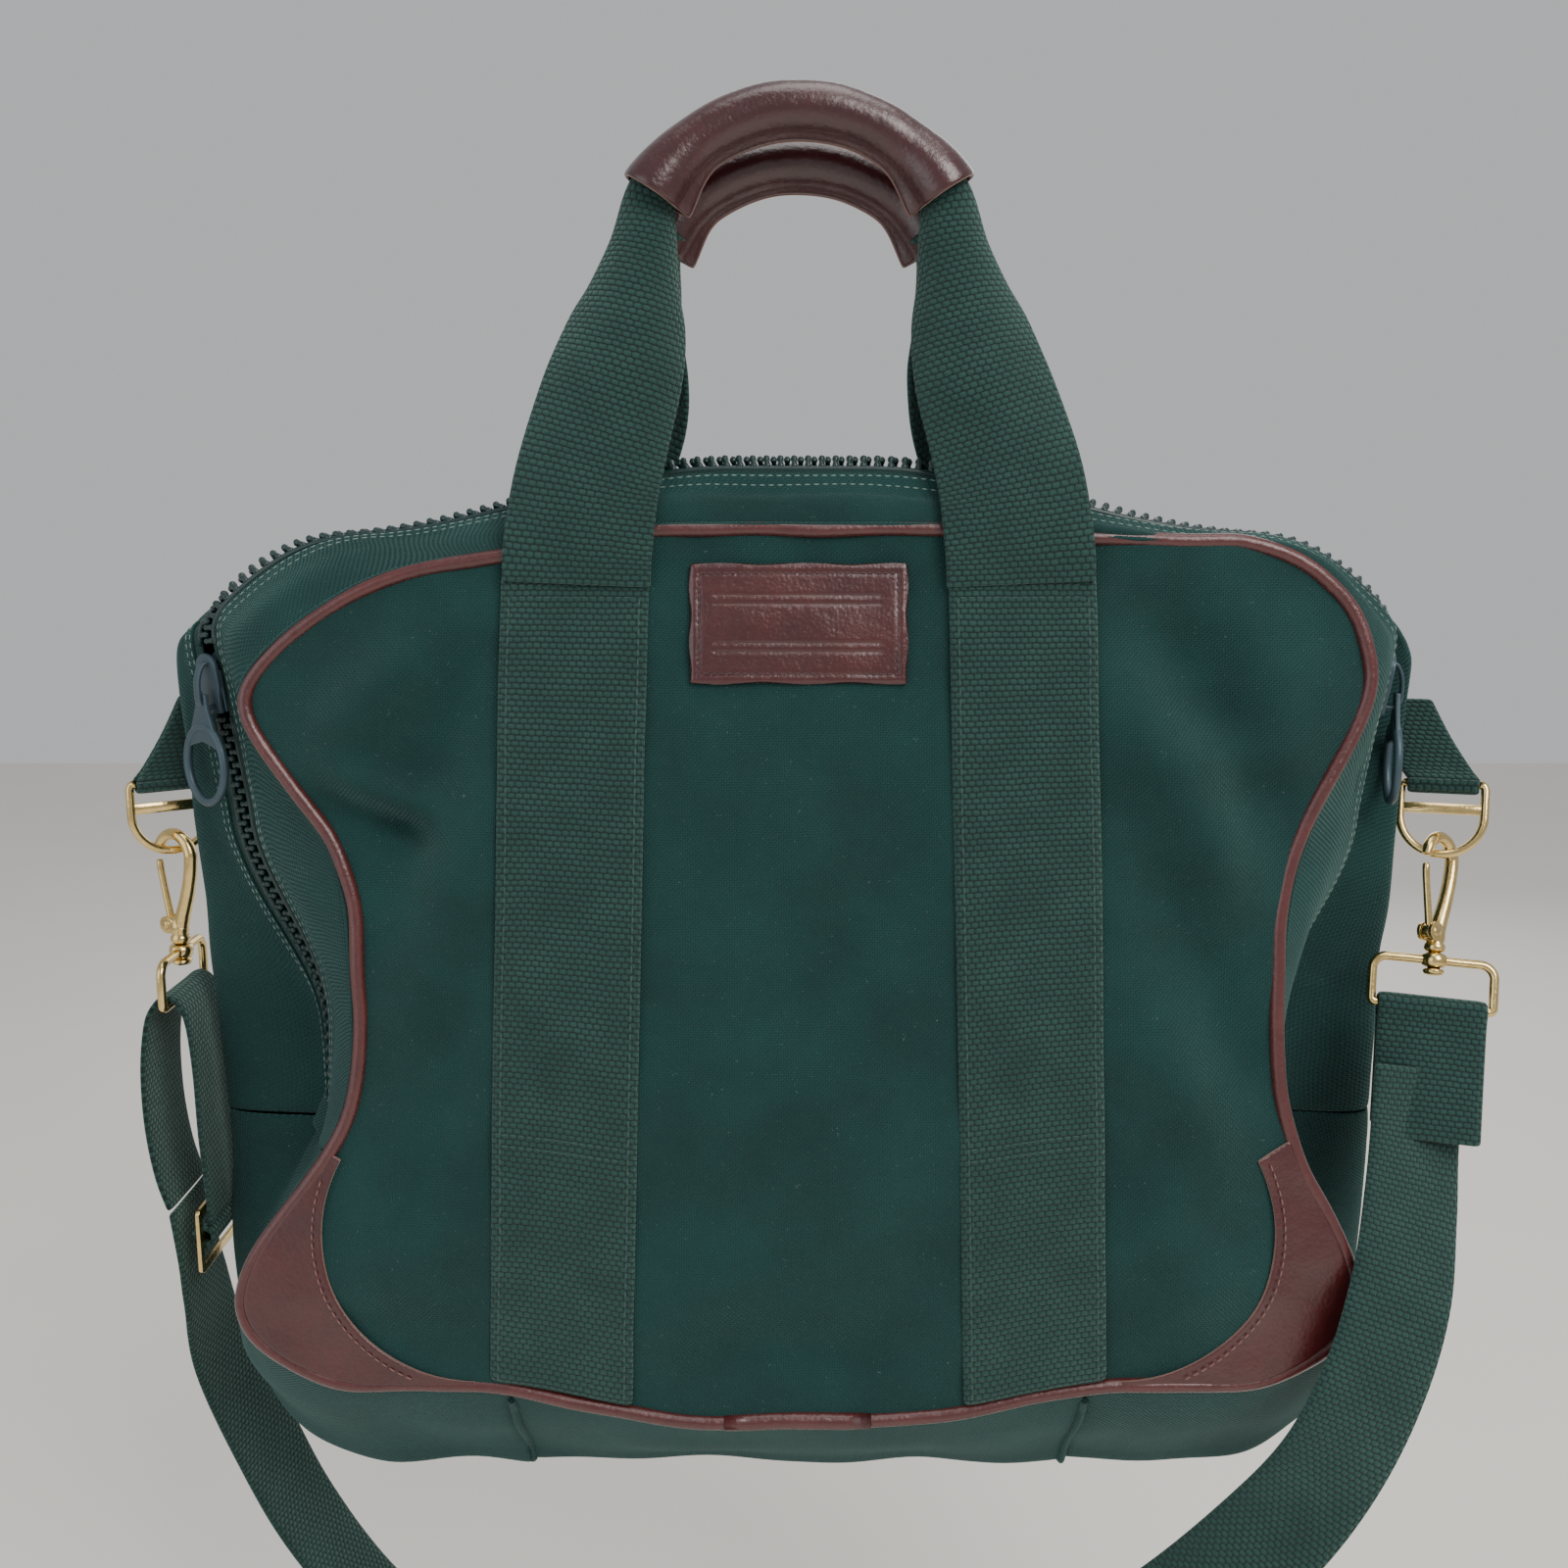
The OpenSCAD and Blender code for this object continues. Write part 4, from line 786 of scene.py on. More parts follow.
def teeth(name, Z, D, i0, i1, nodes, phase, reach):
    """A row of teeth from the tape towards the zipper's middle line, on the cord they grip."""
    start, pitch = 4.4, 4.8
    i = np.arange(i0, i1 + 1) % N_LOOP
    z, d = Z[i], D[i]
    s = np.r_[0, np.cumsum(np.linalg.norm(np.diff(z, axis=0), axis=1))]
    t = unit(np.gradient(z, axis=0))
    places = []
    for q in np.arange(phase, s[-1], pitch):
        p, dd, tt = along(q, s, z), unit(along(q, s, d)), unit(along(q, s, t))
        nn = unit(np.cross(dd, tt))
        places.append((p + dd * start, [-dd * reach / 4.6, np.cross(nn, dd), nn * 1.05]))
    cord = tube(name + "_cord", z + d * (start + 0.2), 1.15, [M["teeth"]], 8)
    piece(cord, "root", slot="zipper_teeth")
    piece(scatter(name, TOOTH, places, [M["teeth"]]), "root", *nodes, slot="zipper_teeth")


ZIP_ENDS = (("left", I_END_L, I_SLIDE_L - 3), ("right", I_SLIDE_R + 3, I_END_R))
for f, Z, D, cols, phase in (("front", ZF, DF, (F2, F1, ZF + DF * 3.6), 1.0),
                             ("back", ZB, DB, (ZB + DB * 3.6, B1, B2), 3.4)):
    P = across(rows(I_END_L, I_END_R + N_LOOP, *cols), 3)
    node = "zipper_tape_" + f
    piece(grid(node + "_cloth", P, [M["tape"]], 0.8, 1), "root", node, slot="zipper_tape")
    node = "zipper_teeth_" + f
    teeth(node + "_row", Z, D, I_SLIDE_L + 2, I_SLIDE_R - 2 + N_LOOP, [node], phase, 5.2)
    for n, i0, i1 in ZIP_ENDS:
        nodes = ["zipper_chain_" + n] if f == "front" else []
        teeth("chain_%s_%s" % (f, n), Z, D, i0, i1, nodes, phase, 5.0)

for side, n in SIDES:
    i = I_END_L if side == LEFT else I_END_R
    p, d = RING_Z[i], unit(RING_Z[i + side * 2] - RING_Z[i])
    w = across_dir(side)
    w = unit(w - d * (w @ d))
    out = side * np.cross(d, w)
    P = np.array([[p + out * (2.6 - 0.018 * q * q) + w * q + d * r for q in np.linspace(-9.5, 9.5, 9)]
                  for r in np.linspace(-13, 3, 7)])
    ob = grid("zipper_end_cover_%s_cloth" % n, P, [M["canvas"]], 1.1, 1)
    piece(ob, "root", "zipper_end_cover_" + n, slot="canvas")
    nrm = np.repeat(out[None], 9, 0)
    piece(stitches("end_cover_stitch_" + n, P[1] + out * 0.5, nrm, M["thread_pale"], 3.0, 1.9, 0.24), "root")

# ---------------------------------------------------------------- leather patches


def corner_patch(face, side, node):
    """Leather corner between the piping and a hollow round inner edge."""
    ring = RING_OF[face]
    c, r = np.array([side * PATCH_X, PATCH_Z]), PATCH_R
    i = np.arange(-42, 18) + I_BOTTOM if side == RIGHT else np.arange(-36, 24) + I_SIDE_L
    d = MIDDLE + (ring[i][:, [0, 2]] - MIDDLE) * 0.993 - c
    angle, far = np.arctan2(d[:, 1], side * d[:, 0]), np.hypot(d[:, 0], d[:, 1])
    order = np.argsort(angle)
    # From straight below the middle of the round edge to a little above its level.
    a = np.linspace(-np.pi / 2, 0.52, 90)
    wide = np.maximum(np.interp(a, angle[order], far[order]) - r, 0.4)

    def place(b, radius, lift):
        return on_face(face, c[0] + side * np.cos(b) * radius, c[1] + np.sin(b) * radius, lift)

    t = np.linspace(0, 1, 20)[None]
    P, n = place(a[:, None], r + wide[:, None] * t, 1.75)
    P = wobble(P, 0.7, 0.05, 20 + side)
    if grid_normals(P)[50, 10] @ n[50, 10] < 0:
        P, n = P[::-1], n[::-1]
    uv = np.stack([P[..., 0], P[..., 2]], -1) / 10
    ob = grid(node + "_leather", P, [M["leather"], M["raw"]], 1.5, 1, rim=1, uv=uv)
    piece(ob, "root", node, slot="leather")
    row, n = place(a[wide > 5.5], r + 3.2, 2.3)
    piece(stitches(node + "_stitches", row, n, M["thread_tan"], 3.2, 2.2, 0.28, 0.85), "root")


for face, f in FACES:
    for side, n in SIDES:
        corner_patch(face, side, "corner_patch_%s_%s" % (f, n))


def label():
    """Stitched leather label with plain embossed lines."""
    X, Z = np.meshgrid(np.linspace(-37, 37, 150), np.linspace(-140, -180, 84), indexing="ij")
    X = X + 0.5 * np.sin(Z * 0.33) * (X / 37)
    Z = Z + 0.45 * np.sin(X * 0.21 + 1) * ((Z + 160) / 20)
    P, n = on_face(FRONT, X, Z, 1.7)
    h = np.zeros_like(X)
    for line in (-150.5, -153.5, -166.5, -169.5):
        h -= 0.42 * np.exp(-((Z - line) / 0.55) ** 2) * smooth((30 - np.abs(X)) / 2)
    edge = np.minimum(37 - np.abs(X), 20 - np.abs(Z + 160))
    h -= 0.3 * np.exp(-((edge - 3.0) / 0.8) ** 2)
    h -= 0.5 * smooth(1 - edge / 1.2)
    P = P + n * h[..., None]
    P = wobble(P, 0.5, 0.06, 31, n)
    uv = np.stack([X, Z], -1)[::-1] / 10
    ob = grid("label_leather", P[::-1], [M["leather"], M["raw"]], 1.5, rim=1, uv=uv)
    piece(ob, "root", "label_patch", slot="leather")
    loop = np.array([(-34, -143), (34, -143), (34, -177), (-34, -177), (-34, -143)], float)
    k = np.arange(121) / 30
    path = np.stack([np.interp(k, np.arange(5), loop[:, c]) for c in (0, 1)], 1)
    p, n = on_face(FRONT, path[:, 0], path[:, 1], 2.25)
    piece(stitches("label_stitches", p, n, M["thread_red"], 2.6, 1.9, 0.34), "root")


label()

# ---------------------------------------------------------------- webbing


def ribbon(name, C, W=None, N=None, thick=WEB_T, sides=9):
    """Strap webbing along C, with direction W across and N out of its face, and thin edges."""
    if W is None:
        W = np.tile([0, 1.0, 0], (len(C), 1))
        N = unit(np.cross(unit(np.gradient(C, axis=0)), W))
    q = np.linspace(-1, 1, sides)
    P = C[:, None] + W[:, None] * (q[None, :, None] * STRAP_W / 2)
    P = P + N[:, None] * (-0.35 * np.abs(q) ** 6)[None, :, None]
    return grid(name, P, WEBBING, thick, 1)


def sewn(name, pts, normals, pitch, length, lift):
    """A row of green stitches that stays with the bag."""
    piece(stitches(name, pts, normals, M["thread_green"], pitch, length, 0.3, lift), "root")


def band(face, side, node):
    """Webbing sewn down a panel, with its stitching."""
    q = np.linspace(-HALF_WEB, HALF_WEB, 17)
    low = Z_BOTTOM + 2.5 + corner_lift(side * 84 + q)
    Z = lerp(Z_TOP - 15, low[None], np.linspace(0, 1, 70)[:, None])
    X = side * lerp(76, 84, (Z_TOP - Z) / PANEL_H) + q[None]
    P, n = on_face(face, X, Z, 1.8)
    # The webbing is stiffer than the panel: it bridges hollows, and its edges are thinner.
    y = P[..., 1]
    flat = y.mean(1)[:, None] * 0.5 + y * 0.5
    P[..., 1] = face * np.maximum(face * y, face * flat) - face * 0.5 * np.abs(q / HALF_WEB)[None] ** 8
    if face == BACK:
        P = P[:, ::-1]
    piece(grid(node + "_web", P, WEBBING, WEB_T, 1), "root", node, slot="webbing")
    for k in (1, 15):
        sewn("%s_edge_%d" % (node, k), P[2:, k], n[2:, k], 3.4, 2.4, 1.05)
    for k, row in enumerate((1, 2, 47, 48)):
        sewn("%s_cross_%d" % (node, k), P[row, 1:-1], n[row, 1:-1], 3.0, 2.2, 1.05)


for face, f in FACES:
    for side, n in SIDES:
        band(face, side, "handle_band_%s_%s" % (f, n))

GRIP_R, GRIP_Y, BACK_DROP = 58.0, 11.0, 13.0


def grip_centre(face):
    return np.array([0, face * GRIP_Y, 2.5 + 7 - GRIP_R - (BACK_DROP if face == BACK else 0)])


def arm(face, side, node):
    """Free webbing from the bag to the grip: flat at the bag, rolled into the leather."""
    down = BACK_DROP if face == BACK else 0
    a = math.radians(53)
    end = grip_centre(face) + GRIP_R * np.array([side * math.sin(a), 0, math.cos(a)])
    # z, middle x, y, and half the angle that the webbing is rolled through.
    keys = [(-146.5, 75.8, 23.6, 0.04), (-137, 75.3, 24.3, 0.08), (-126, 74, 24.6, 0.2), (-112, 71.8, 24, 0.42),
            (-94, 67, 22.6, 0.62), (-76, 61.5, 21, 0.84), (-60, 57.6, 19.2, 1.2), (-46, 54.6, 17.4, 1.75),
            (-34, 52.0, 15.5, 2.3)]
    keys = [(z - down * smooth((z + 130) / 70), x, y, t) for z, x, y, t in keys]
    keys.append((end[2] - 5, abs(end[0]) + 3.0, abs(end[1]) + 3.4, 2.75))
    keys.append((end[2] + 3, abs(end[0]) - 3.0, abs(end[1]) + 2.0, 2.9))
    path = spline([[x, y, z, t * 10] for z, x, y, t in keys], 6)
    C = np.stack([side * path[:, 0], face * path[:, 1], path[:, 2]], 1)
    t = unit(np.gradient(C, axis=0))
    out = np.array([0, face, 0.0])
    n = unit(out - t * (t @ out)[:, None])
    w = unit(np.cross(t, n)) * (1 if face == FRONT else -1)
    half_turn = path[:, 3, None] / 10
    a = np.linspace(-1, 1, 25)[None] * half_turn
    R = HALF_WEB / half_turn * (1.0 - 0.12 * smooth((half_turn - 2.0) / 0.9))
    P = C[:, None] + w[:, None] * (R * np.sin(a))[..., None]
    P = P + n[:, None] * (R * (np.cos(a) - 1) * 0.82)[..., None]
    P = wobble(P if face == FRONT else P[:, ::-1], 1.1, 0.035, 40 + side * face)
    ob = grid(node + "_web", P, WEBBING, WEB_T, 1)
    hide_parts(node)
    apply(ob)
    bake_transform(ob)


def grip(face, f, body):
    """Leather sleeve: round in the middle, wider at its ends, with its edges sewn below."""
    c = grip_centre(face)
    half = math.radians(58)
    phi = np.linspace(-half, half, 61)
    y = np.array([0, 1.0, 0])
    P = []
    for p in phi:
        far = smooth((abs(math.degrees(p)) - 34) / 24)
        r = 7.1 + 2.6 * far
        up = np.array([math.sin(p), 0, math.cos(p)])
        ring = []
        for a in np.linspace(0, 2 * math.pi, 34, endpoint=False):
            # The angle starts at the lip, on the inner side of the curve.
            cs, sn = math.cos(a), math.sin(a)
            lip = math.exp(-(min(a, 2 * math.pi - a) / 0.2) ** 2)
            inner = GRIP_R - cs * (r + (2.4 + 2.2 * far) * lip)
            ring.append(c + up * inner + y * (sn * r * (1 - 0.1 * lip)))
        P.append(ring + [ring[0]])
    P = wobble(np.array(P), 0.5, 0.06, 50 + face)
    P[:, -1] = P[:, 0]
    ob = grid("handle_%s_grip_leather" % f, P, [M["grip"], M["raw"]], 1.6, 1, rim=1, offset=-1.0)
    piece(ob, body, "handle_%s_grip" % f, slot="leather")
    spine = c + GRIP_R * np.stack([np.sin(phi), 0 * phi, np.cos(phi)], 1)
    for k, col in (("a", 2), ("b", -3)):
        n = P[:, col] - spine
        piece(stitches("grip_stitch_%s_%s" % (f, k), P[:, col], n, M["thread_red"], 3.0, 2.0, 0.3, 0.25), body)
    # Rolled webbing inside, which shows at the ends.
    ph = np.linspace(-half * 0.98, half * 0.98, 30)
    core = c + GRIP_R * np.stack([np.sin(ph), 0 * ph, np.cos(ph)], 1)
    ob = tube("handle_%s_core_web" % f, core, 4.7, WEBBING, 16)
    piece(ob, body, "handle_%s_core" % f, slot="webbing")


for face, f in FACES:
    body = "handle_" + f
    grip(face, f, body)
    for side, n in SIDES:
        arm(face, side, "handle_%s_arm_%s" % (f, n))

# ---------------------------------------------------------------- hardware

BAR = {LEFT: np.array([-236.0, 20, -222]), RIGHT: np.array([240.5, 14, -222])}
YAW = {LEFT: 35, RIGHT: -25}
HOOK_YAW = {LEFT: -28, RIGHT: 35}
RING_YAW = {LEFT: 90, RIGHT: -12}
HOOK_Z, BOSS_Z, RING_H = -28.7, -65.8, 17.0


def rot(axis, deg):
    return np.array(Matrix.Rotation(math.radians(deg), 3, axis))


LEAN = {LEFT: np.eye(3), RIGHT: rot("Y", 7) @ rot("X", -18.5)}


def placed(pts, side, yaw=0.0, z=0.0):
    """Points of the hardware's own frame, put in place."""
    p = np.asarray(pts, float) @ rot("Z", yaw).T + [0, 0, z]
    return p @ LEAN[side].T + BAR[side]


def turned(name, profile, mats, place, sides=28):
    """Turned solid about z: profile of (radius, z)."""
    P = np.array([[(r * math.cos(a), r * math.sin(a), z) for r, z in profile]
                  for a in np.linspace(0, 2 * math.pi, sides, endpoint=False)])
    P = place(P.reshape(-1, 3)).reshape(P.shape)
    return grid(name, P, mats, closed=True)


def slab(name, shape, t, mats, place, bevel, holes=()):
    """Flat piece from an outline in x and z, t thick about y, with rounded edges."""
    bm = bmesh.new()
    edges = []
    for loop in (shape, *holes):
        vs = [bm.verts.new((x, -t / 2, z)) for x, z in loop]
        edges += [bm.edges.new((vs[k], vs[(k + 1) % len(vs)])) for k in range(len(vs))]
    bmesh.ops.triangle_fill(bm, use_beauty=True, edges=edges)
    raised = bmesh.ops.extrude_face_region(bm, geom=bm.faces[:])["geom"]
    bmesh.ops.translate(bm, vec=(0, t, 0), verts=[v for v in raised if isinstance(v, bmesh.types.BMVert)])
    bmesh.ops.recalc_face_normals(bm, faces=bm.faces[:])
    me = bpy.data.meshes.new(name)
    bm.to_mesh(me)
    bm.free()
    co = np.array([v.co for v in me.vertices]).reshape(-1, 3)
    faces = [tuple(p.vertices) for p in me.polygons]
    uvs = [(co[v][0] / 10, co[v][2] / 10) for f in faces for v in f]
    bpy.data.meshes.remove(me)
    ob = new_mesh(name, place(co), faces, uvs, mats)
    b = ob.modifiers.new("bevel", "BEVEL")
    b.width = bevel * MM
    b.segments = 3
    b.limit_method = "ANGLE"
    b.angle_limit = math.radians(40)
    b.harden_normals = True
    return ob


def arc(cx, cz, r, a0, a1, n):
    return [(cx + r * math.cos(a), cz + r * math.sin(a)) for a in np.radians(np.linspace(a0, a1, n))]


def arc3(*args):
    return [(x, 0, z) for x, z in arc(*args)]


def laid(place, height):
    """Puts a flat piece, drawn in x and z, on its back at a height."""
    def put(q):
        x, y, z = np.asarray(q, float).T
        return place(np.stack([x, z, height + y], 1))
    return put


def d_ring(side, n):
    f = lambda p: placed(p, side, YAW[side])
    R, drop = 14.5, 12.0
    pts = arc3(0, -drop, R, 180, 360, 40)
    path = [(-R + 1.6, 0, 0.0), (-R + 0.5, 0, -0.5), (-R, 0, -1.8), (-R, 0, -6)] + pts + [
        (R, 0, -6), (R, 0, -1.8), (R - 0.5, 0, -0.5), (R - 1.6, 0, 0.0)]
    ring = tube("ring", f(path), 1.55, BRASS, 16)
    bar = tube("bar", f([(-R + 1, 0, 0), (0, 0, 0), (R - 1, 0, 0)]), 1.5, BRASS, 16, False, (0, 0, 1))
    plate = slab("plate", [(-R, -7.5), (R, -7.5), (R, -11.4), (-R, -11.4)], 1.8, BRASS, f, 0.5)
    piece(join("d_ring_%s_brass" % n, [ring, bar, plate]), "d_ring_" + n, "d_ring_" + n, slot="brass")


def snap_hook(side, n):
    f = lambda p: placed(p, side, HOOK_YAW[side], HOOK_Z)
    bow = arc3(0, 0, 8.4, 173, 0, 34)
    path = spline([*bow[::3], (7.7, 0, -6), (6.2, 0, -12), (4.4, 0, -17.5), (2.3, 0, -23), (0.9, 0, -27.5)], 5)
    r = np.interp(np.linspace(0, 1, len(path)), [0, 0.08, 0.5, 0.8, 1], [1.7, 2.1, 2.35, 2.5, 2.9])
    parts = [tube("bow", f(path), r, BRASS, 18)]
    collar = [(0, -22.5), (2.2, -23.6), (3.3, -26.5), (3.5, -29.5), (2.9, -30.6), (3.6, -31.4), (3.8, -33.0),
              (3.1, -33.9), (2.2, -34.1), (2.2, -40.2), (3.5, -40.4), (3.8, -41.2), (3.3, -42.2), (1.6, -42.7),
              (0, -42.8)]
    parts.append(turned("collar", collar, BRASS, f))
    for m in (-1, 1):
        ear = arc(-4.2, -27, 3.3, 60, 270, 18) + [(-1.2, -30.2), (0.8, -29), (0.8, -25.4)]
        g = lambda p, m=m: f(p + [0, m * 2.25, 0])
        parts.append(slab("ear%d" % m, ear, 1.3, BRASS, g, 0.3))
    piece(join("snap_hook_%s_brass" % n, parts), "snap_hook_" + n, "snap_hook_" + n, slot="brass")
    gate = spline([(-4.2, 0, -27), (-5.0, 0, -22), (-6.7, 0, -14), (-8.1, 0, -6.5), (-8.4, 0, -2.6)], 6)
    r = np.interp(np.linspace(0, 1, len(gate)), [0, 0.15, 0.6, 0.9, 1], [1.9, 1.45, 1.3, 1.35, 1.2])
    parts = [tube("gate", f(gate), r, BRASS, 14)]
    parts.append(slab("knuckle", arc(-4.2, -27, 2.9, 0, 345, 24), 2.6, BRASS, f, 0.25))
    piece(join("hook_gate_%s_brass" % n, parts), "hook_gate_" + n, "hook_gate_" + n, slot="brass")
    half = [(0, 3.6), (1.3, 3.5), (1.9, 3.0), (1.9, 2.9), (1.0, 2.8)]
    prof = [(r, -z) for r, z in half] + half[::-1]
    g = lambda p: f(np.asarray(p) @ rot("X", 90).T + [-4.2, 0, -27])
    rivet = turned("gate_rivet_%s_brass" % n, prof, [M["rivet"]], g)
    piece(rivet, "snap_hook_" + n, "gate_rivet_" + n, slot="brass")


def strap_ring(side, n):
    f = lambda p: placed(p, side, RING_YAW[side], BOSS_Z)
    hx = 39 / 2 + 1.6
    c = 5.0
    path = ([(-hx + c, 0, 0)] + arc3(-hx + c, -c, c, 95, 175, 8) + [(-hx, 0, -9)]
            + arc3(-hx + 1.6, -RING_H + 1.6, 1.6, 185, 265, 5) + [(0, 0, -RING_H)]
            + arc3(hx - 1.6, -RING_H + 1.6, 1.6, 275, 355, 5) + [(hx, 0, -9)]
            + arc3(hx - c, -c, c, 5, 85, 8) + [(hx - c, 0, 0), (8, 0, 0), (-8, 0, 0)])
    ring = tube("ring", f(path), 1.65, BRASS, 16, True)
    half = [(2.3, 2.4), (3.4, 2.5), (4.3, 1.8)]
    boss = turned("boss", [*half, (4.5, 0), *[(r, -z) for r, z in half[::-1]], half[0]], BRASS, f)
    piece(join("strap_ring_%s_brass" % n, [ring, boss]), "root", "strap_ring_" + n, slot="brass")


def at_slider(side):
    x, y, z = -across_dir(side) * side, slide_dir(side), face_dir(side)
    i = I_SLIDE_R if side == RIGHT else I_SLIDE_L
    p = lerp(RING_Z[i], RING_Z[i + side * FINE], 0.3)
    return p, np.array([x, y, z])


def zip_slider(side, n):
    p, A = at_slider(side)
    f = lambda q: p + np.asarray(q) @ A
    room, t = 2.1, 1.5
    head = [(-6.3, -5.5)] + arc(0, -4.6, 6.5, 205, 335, 12) + [
        (6.3, -5.5), (6.1, 1.0), (4.6, 5.0), (4.2, 10.8), (-4.2, 10.8), (-4.6, 5.0), (-6.1, 1.0)]
    parts = []
    for m in (-1, 1):
        parts.append(slab("plate%d" % m, head, t, SLIDER, laid(f, m * (room + t / 2)), 0.5))
    for m in (-1, 1):
        flange = [(m * 6.3, -4.5), (m * 5.2, -4.5), (m * 5.0, 10.4), (m * 5.7, 10.4)]
        for s in (-1, 1):
            shape = flange if m > 0 else flange[::-1]
            parts.append(slab("flange%d%d" % (m, s), shape, 1.0, SLIDER, laid(f, s * 1.72), 0.2))
    post = [(0, -8, z) for z in (-room - 0.4, 0, room + 0.4)]
    parts.append(tube("post", f(post), 0.75, SLIDER, 10, False, (1, 0, 0)))
    # Bridge that the pull hangs from.
    zq = unit([*face_dir(side)[:2], 0])
    B = np.array([np.cross([0, 0, -1], zq), [0, 0, -1], zq])
    h = lambda q: p + np.asarray(q) @ B
    top = room + t
    arch = spline([(0, -7.5, top - 0.6), (0, -6.5, top + 2.4), (0, -2.0, top + 4.2), (0, 3.0, top + 4.4),
                   (0, 6.8, top + 3.9), (0, 8.6, top + 1.6), (0, 8.6, top - 0.8)], 6)
    P = arch[:, None] + [(-1.6, 0, 0), (-1.2, 0, 0.1), (1.2, 0, 0.1), (1.6, 0, 0)]
    parts.append(grid("bridge", h(P), SLIDER, 1.3, 1))
    piece(join("zip_slider_%s_metal" % n, parts), "zip_slider_" + n, "zip_slider_" + n, slot="slider_paint")

    lug_y, lug_z, neck = 5.0, 6.6, 9.0
    R = 13 - 1.5
    cy = lug_y + neck + R
    a = np.linspace(0, 2 * math.pi, 56, endpoint=False)
    ring = np.stack([R * np.cos(a), cy + 3.5 + (R + 2.2) * np.sin(a), lug_z + 0 * a], 1)
    parts = [tube("ring", h(ring), 1.6, SLIDER, 14, True, B[2])]
    half = [(2.9, lug_y - 1.6), (3.4, lug_y + 3), (R * 0.78, cy - R * 0.4), (R * 0.86, cy - R * 0.18),
            (R * 0.5, cy - R * 0.30)]
    collar = [(-2.9, lug_y - 1.6), *half, (0, cy - R * 0.42), *[(-x, y) for x, y in half[:0:-1]]]
    hole = [(-1.8, lug_y - 0.6), (1.8, lug_y - 0.6), (1.8, lug_y + 1.8), (-1.8, lug_y + 1.8)]
    parts.append(slab("collar", collar, 1.7, SLIDER, laid(h, lug_z), 0.35, [hole]))
    piece(join("zip_pull_%s_metal" % n, parts), "zip_pull_" + n, "zip_pull_" + n, slot="slider_paint")


for side, n in SIDES:
    d_ring(side, n)
    snap_hook(side, n)
    strap_ring(side, n)
    zip_slider(side, n)

# ---------------------------------------------------------------- tabs and shoulder strap


def folded(node, side, pts, width, yaw, z=0.0):
    """Webbing that follows a path in the hardware's frame, with its width along x."""
    across_x = np.linspace(-1, 1, 9)[:, None] * [width / 2, 0, 0]
    P = placed(spline(pts, 6)[:, None] + across_x, side, yaw, z)
    piece(grid(node + "_web", P, WEBBING, 2.0, 1), "root", node, slot="webbing")
    return P, grid_normals(P)


for side, n in SIDES:
    r = 2.75
    s = -side * 18.0
    path = [(s, -1.3, 32), (s * 0.6, -1.3, 18), (s * 0.18, -1.4, 6), (0, -2.6, 1.5)]
    path += [(0, -r * math.cos(a), -r * math.sin(a)) for a in np.radians([10, 50, 90, 130, 170])]
    path += [(0, 2.6, 1.5), (s * 0.18, 1.4, 6), (s * 0.6, 1.3, 18), (s, 1.3, 32)]
    Q, N = folded("d_ring_tab_" + n, side, path, 25, YAW[side])
    sewn("tab_stitch_" + n, Q[20], N[20], 3, 2.2, 1.1)

# Right end: folded over the strap ring and sewn to itself.
r = 1.65 + 1.25
path = [(0, -1.5, -48), (0, -1.5, -30), (0, -1.9, -8), (0, -r, -2)]
path += [(0, -r * math.cos(a), r * math.sin(a)) for a in np.radians([20, 55, 90, 125, 160])]
path += [(0, r, -2), (0, 1.9, -8), (0, 1.4, -30), (0, 1.4, -44)]
Q, N = folded("strap_end_right", RIGHT, path, STRAP_W, RING_YAW[RIGHT], BOSS_Z - RING_H)
for k, row in enumerate((9, 11, 62, 64)):
    sewn("strap_end_stitch_%d" % k, Q[row, 1:-1], N[row, 1:-1], 3, 2.2, 1.2)

LOOP = [(-225.2, -392), (-226, -374), (-227, -355), (-227.5, -330), (-229, -312), (-231.7, -304.5),
        (-236, -301.6), (-240.5, -304.5), (-244, -312), (-246.5, -330), (-246.5, -352), (-244, -372), (-240, -386)]
C = spline([(x, 20.0, z) for x, z in LOOP], 6)
piece(ribbon("strap_end_left_web", C), "root", "strap_end_left", slot="webbing")

# Middle of the strap from the right end round to the left: x, y, z and its turn in degrees.
ROUTE = [(225.8, -19.8, -320.5, -12), (222.8, -26, -344, -12), (218, -38, -366, -6), (210, -54, -391, 0),
         (199, -63, -420, 2), (184, -65, -452, 8), (162, -64, -482, 25), (134, -60, -512, 45),
         (98, -50, -544, 65), (54, -34, -576, 80), (6, -16, -603, 88), (-44, 2, -618, 90), (-94, 16, -618, 90),
         (-140, 27, -604, 88), (-178, 35, -576, 82), (-205, 38, -540, 76), (-222, 36, -500, 74),
         (-235, 30, -458, 80), (-237, 23, -425, 88), (-237.5, 20.5, -408, 90), (-239.6, 20, -387, 90)]
R = spline(ROUTE, 9)
C, turn = R[:, :3], np.radians(R[:, 3])
t = unit(np.gradient(C, axis=0))
side_out = unit(np.cross(t, np.tile([0, 1.0, 0], (len(C), 1))))
N = np.cos(turn)[:, None] * np.array([0, -1.0, 0]) - np.sin(turn)[:, None] * side_out
W = unit(np.cross(t, N))
strap = apply(ribbon("shoulder_strap_web", C, W, unit(N), sides=11))
piece(strap, "root", "shoulder_strap", slot="webbing")

# Adjuster: a flat brass frame with a middle bar, and the strap's tail sewn round the bar.
ax, ay, az = -228.0, 20.0, -397.0


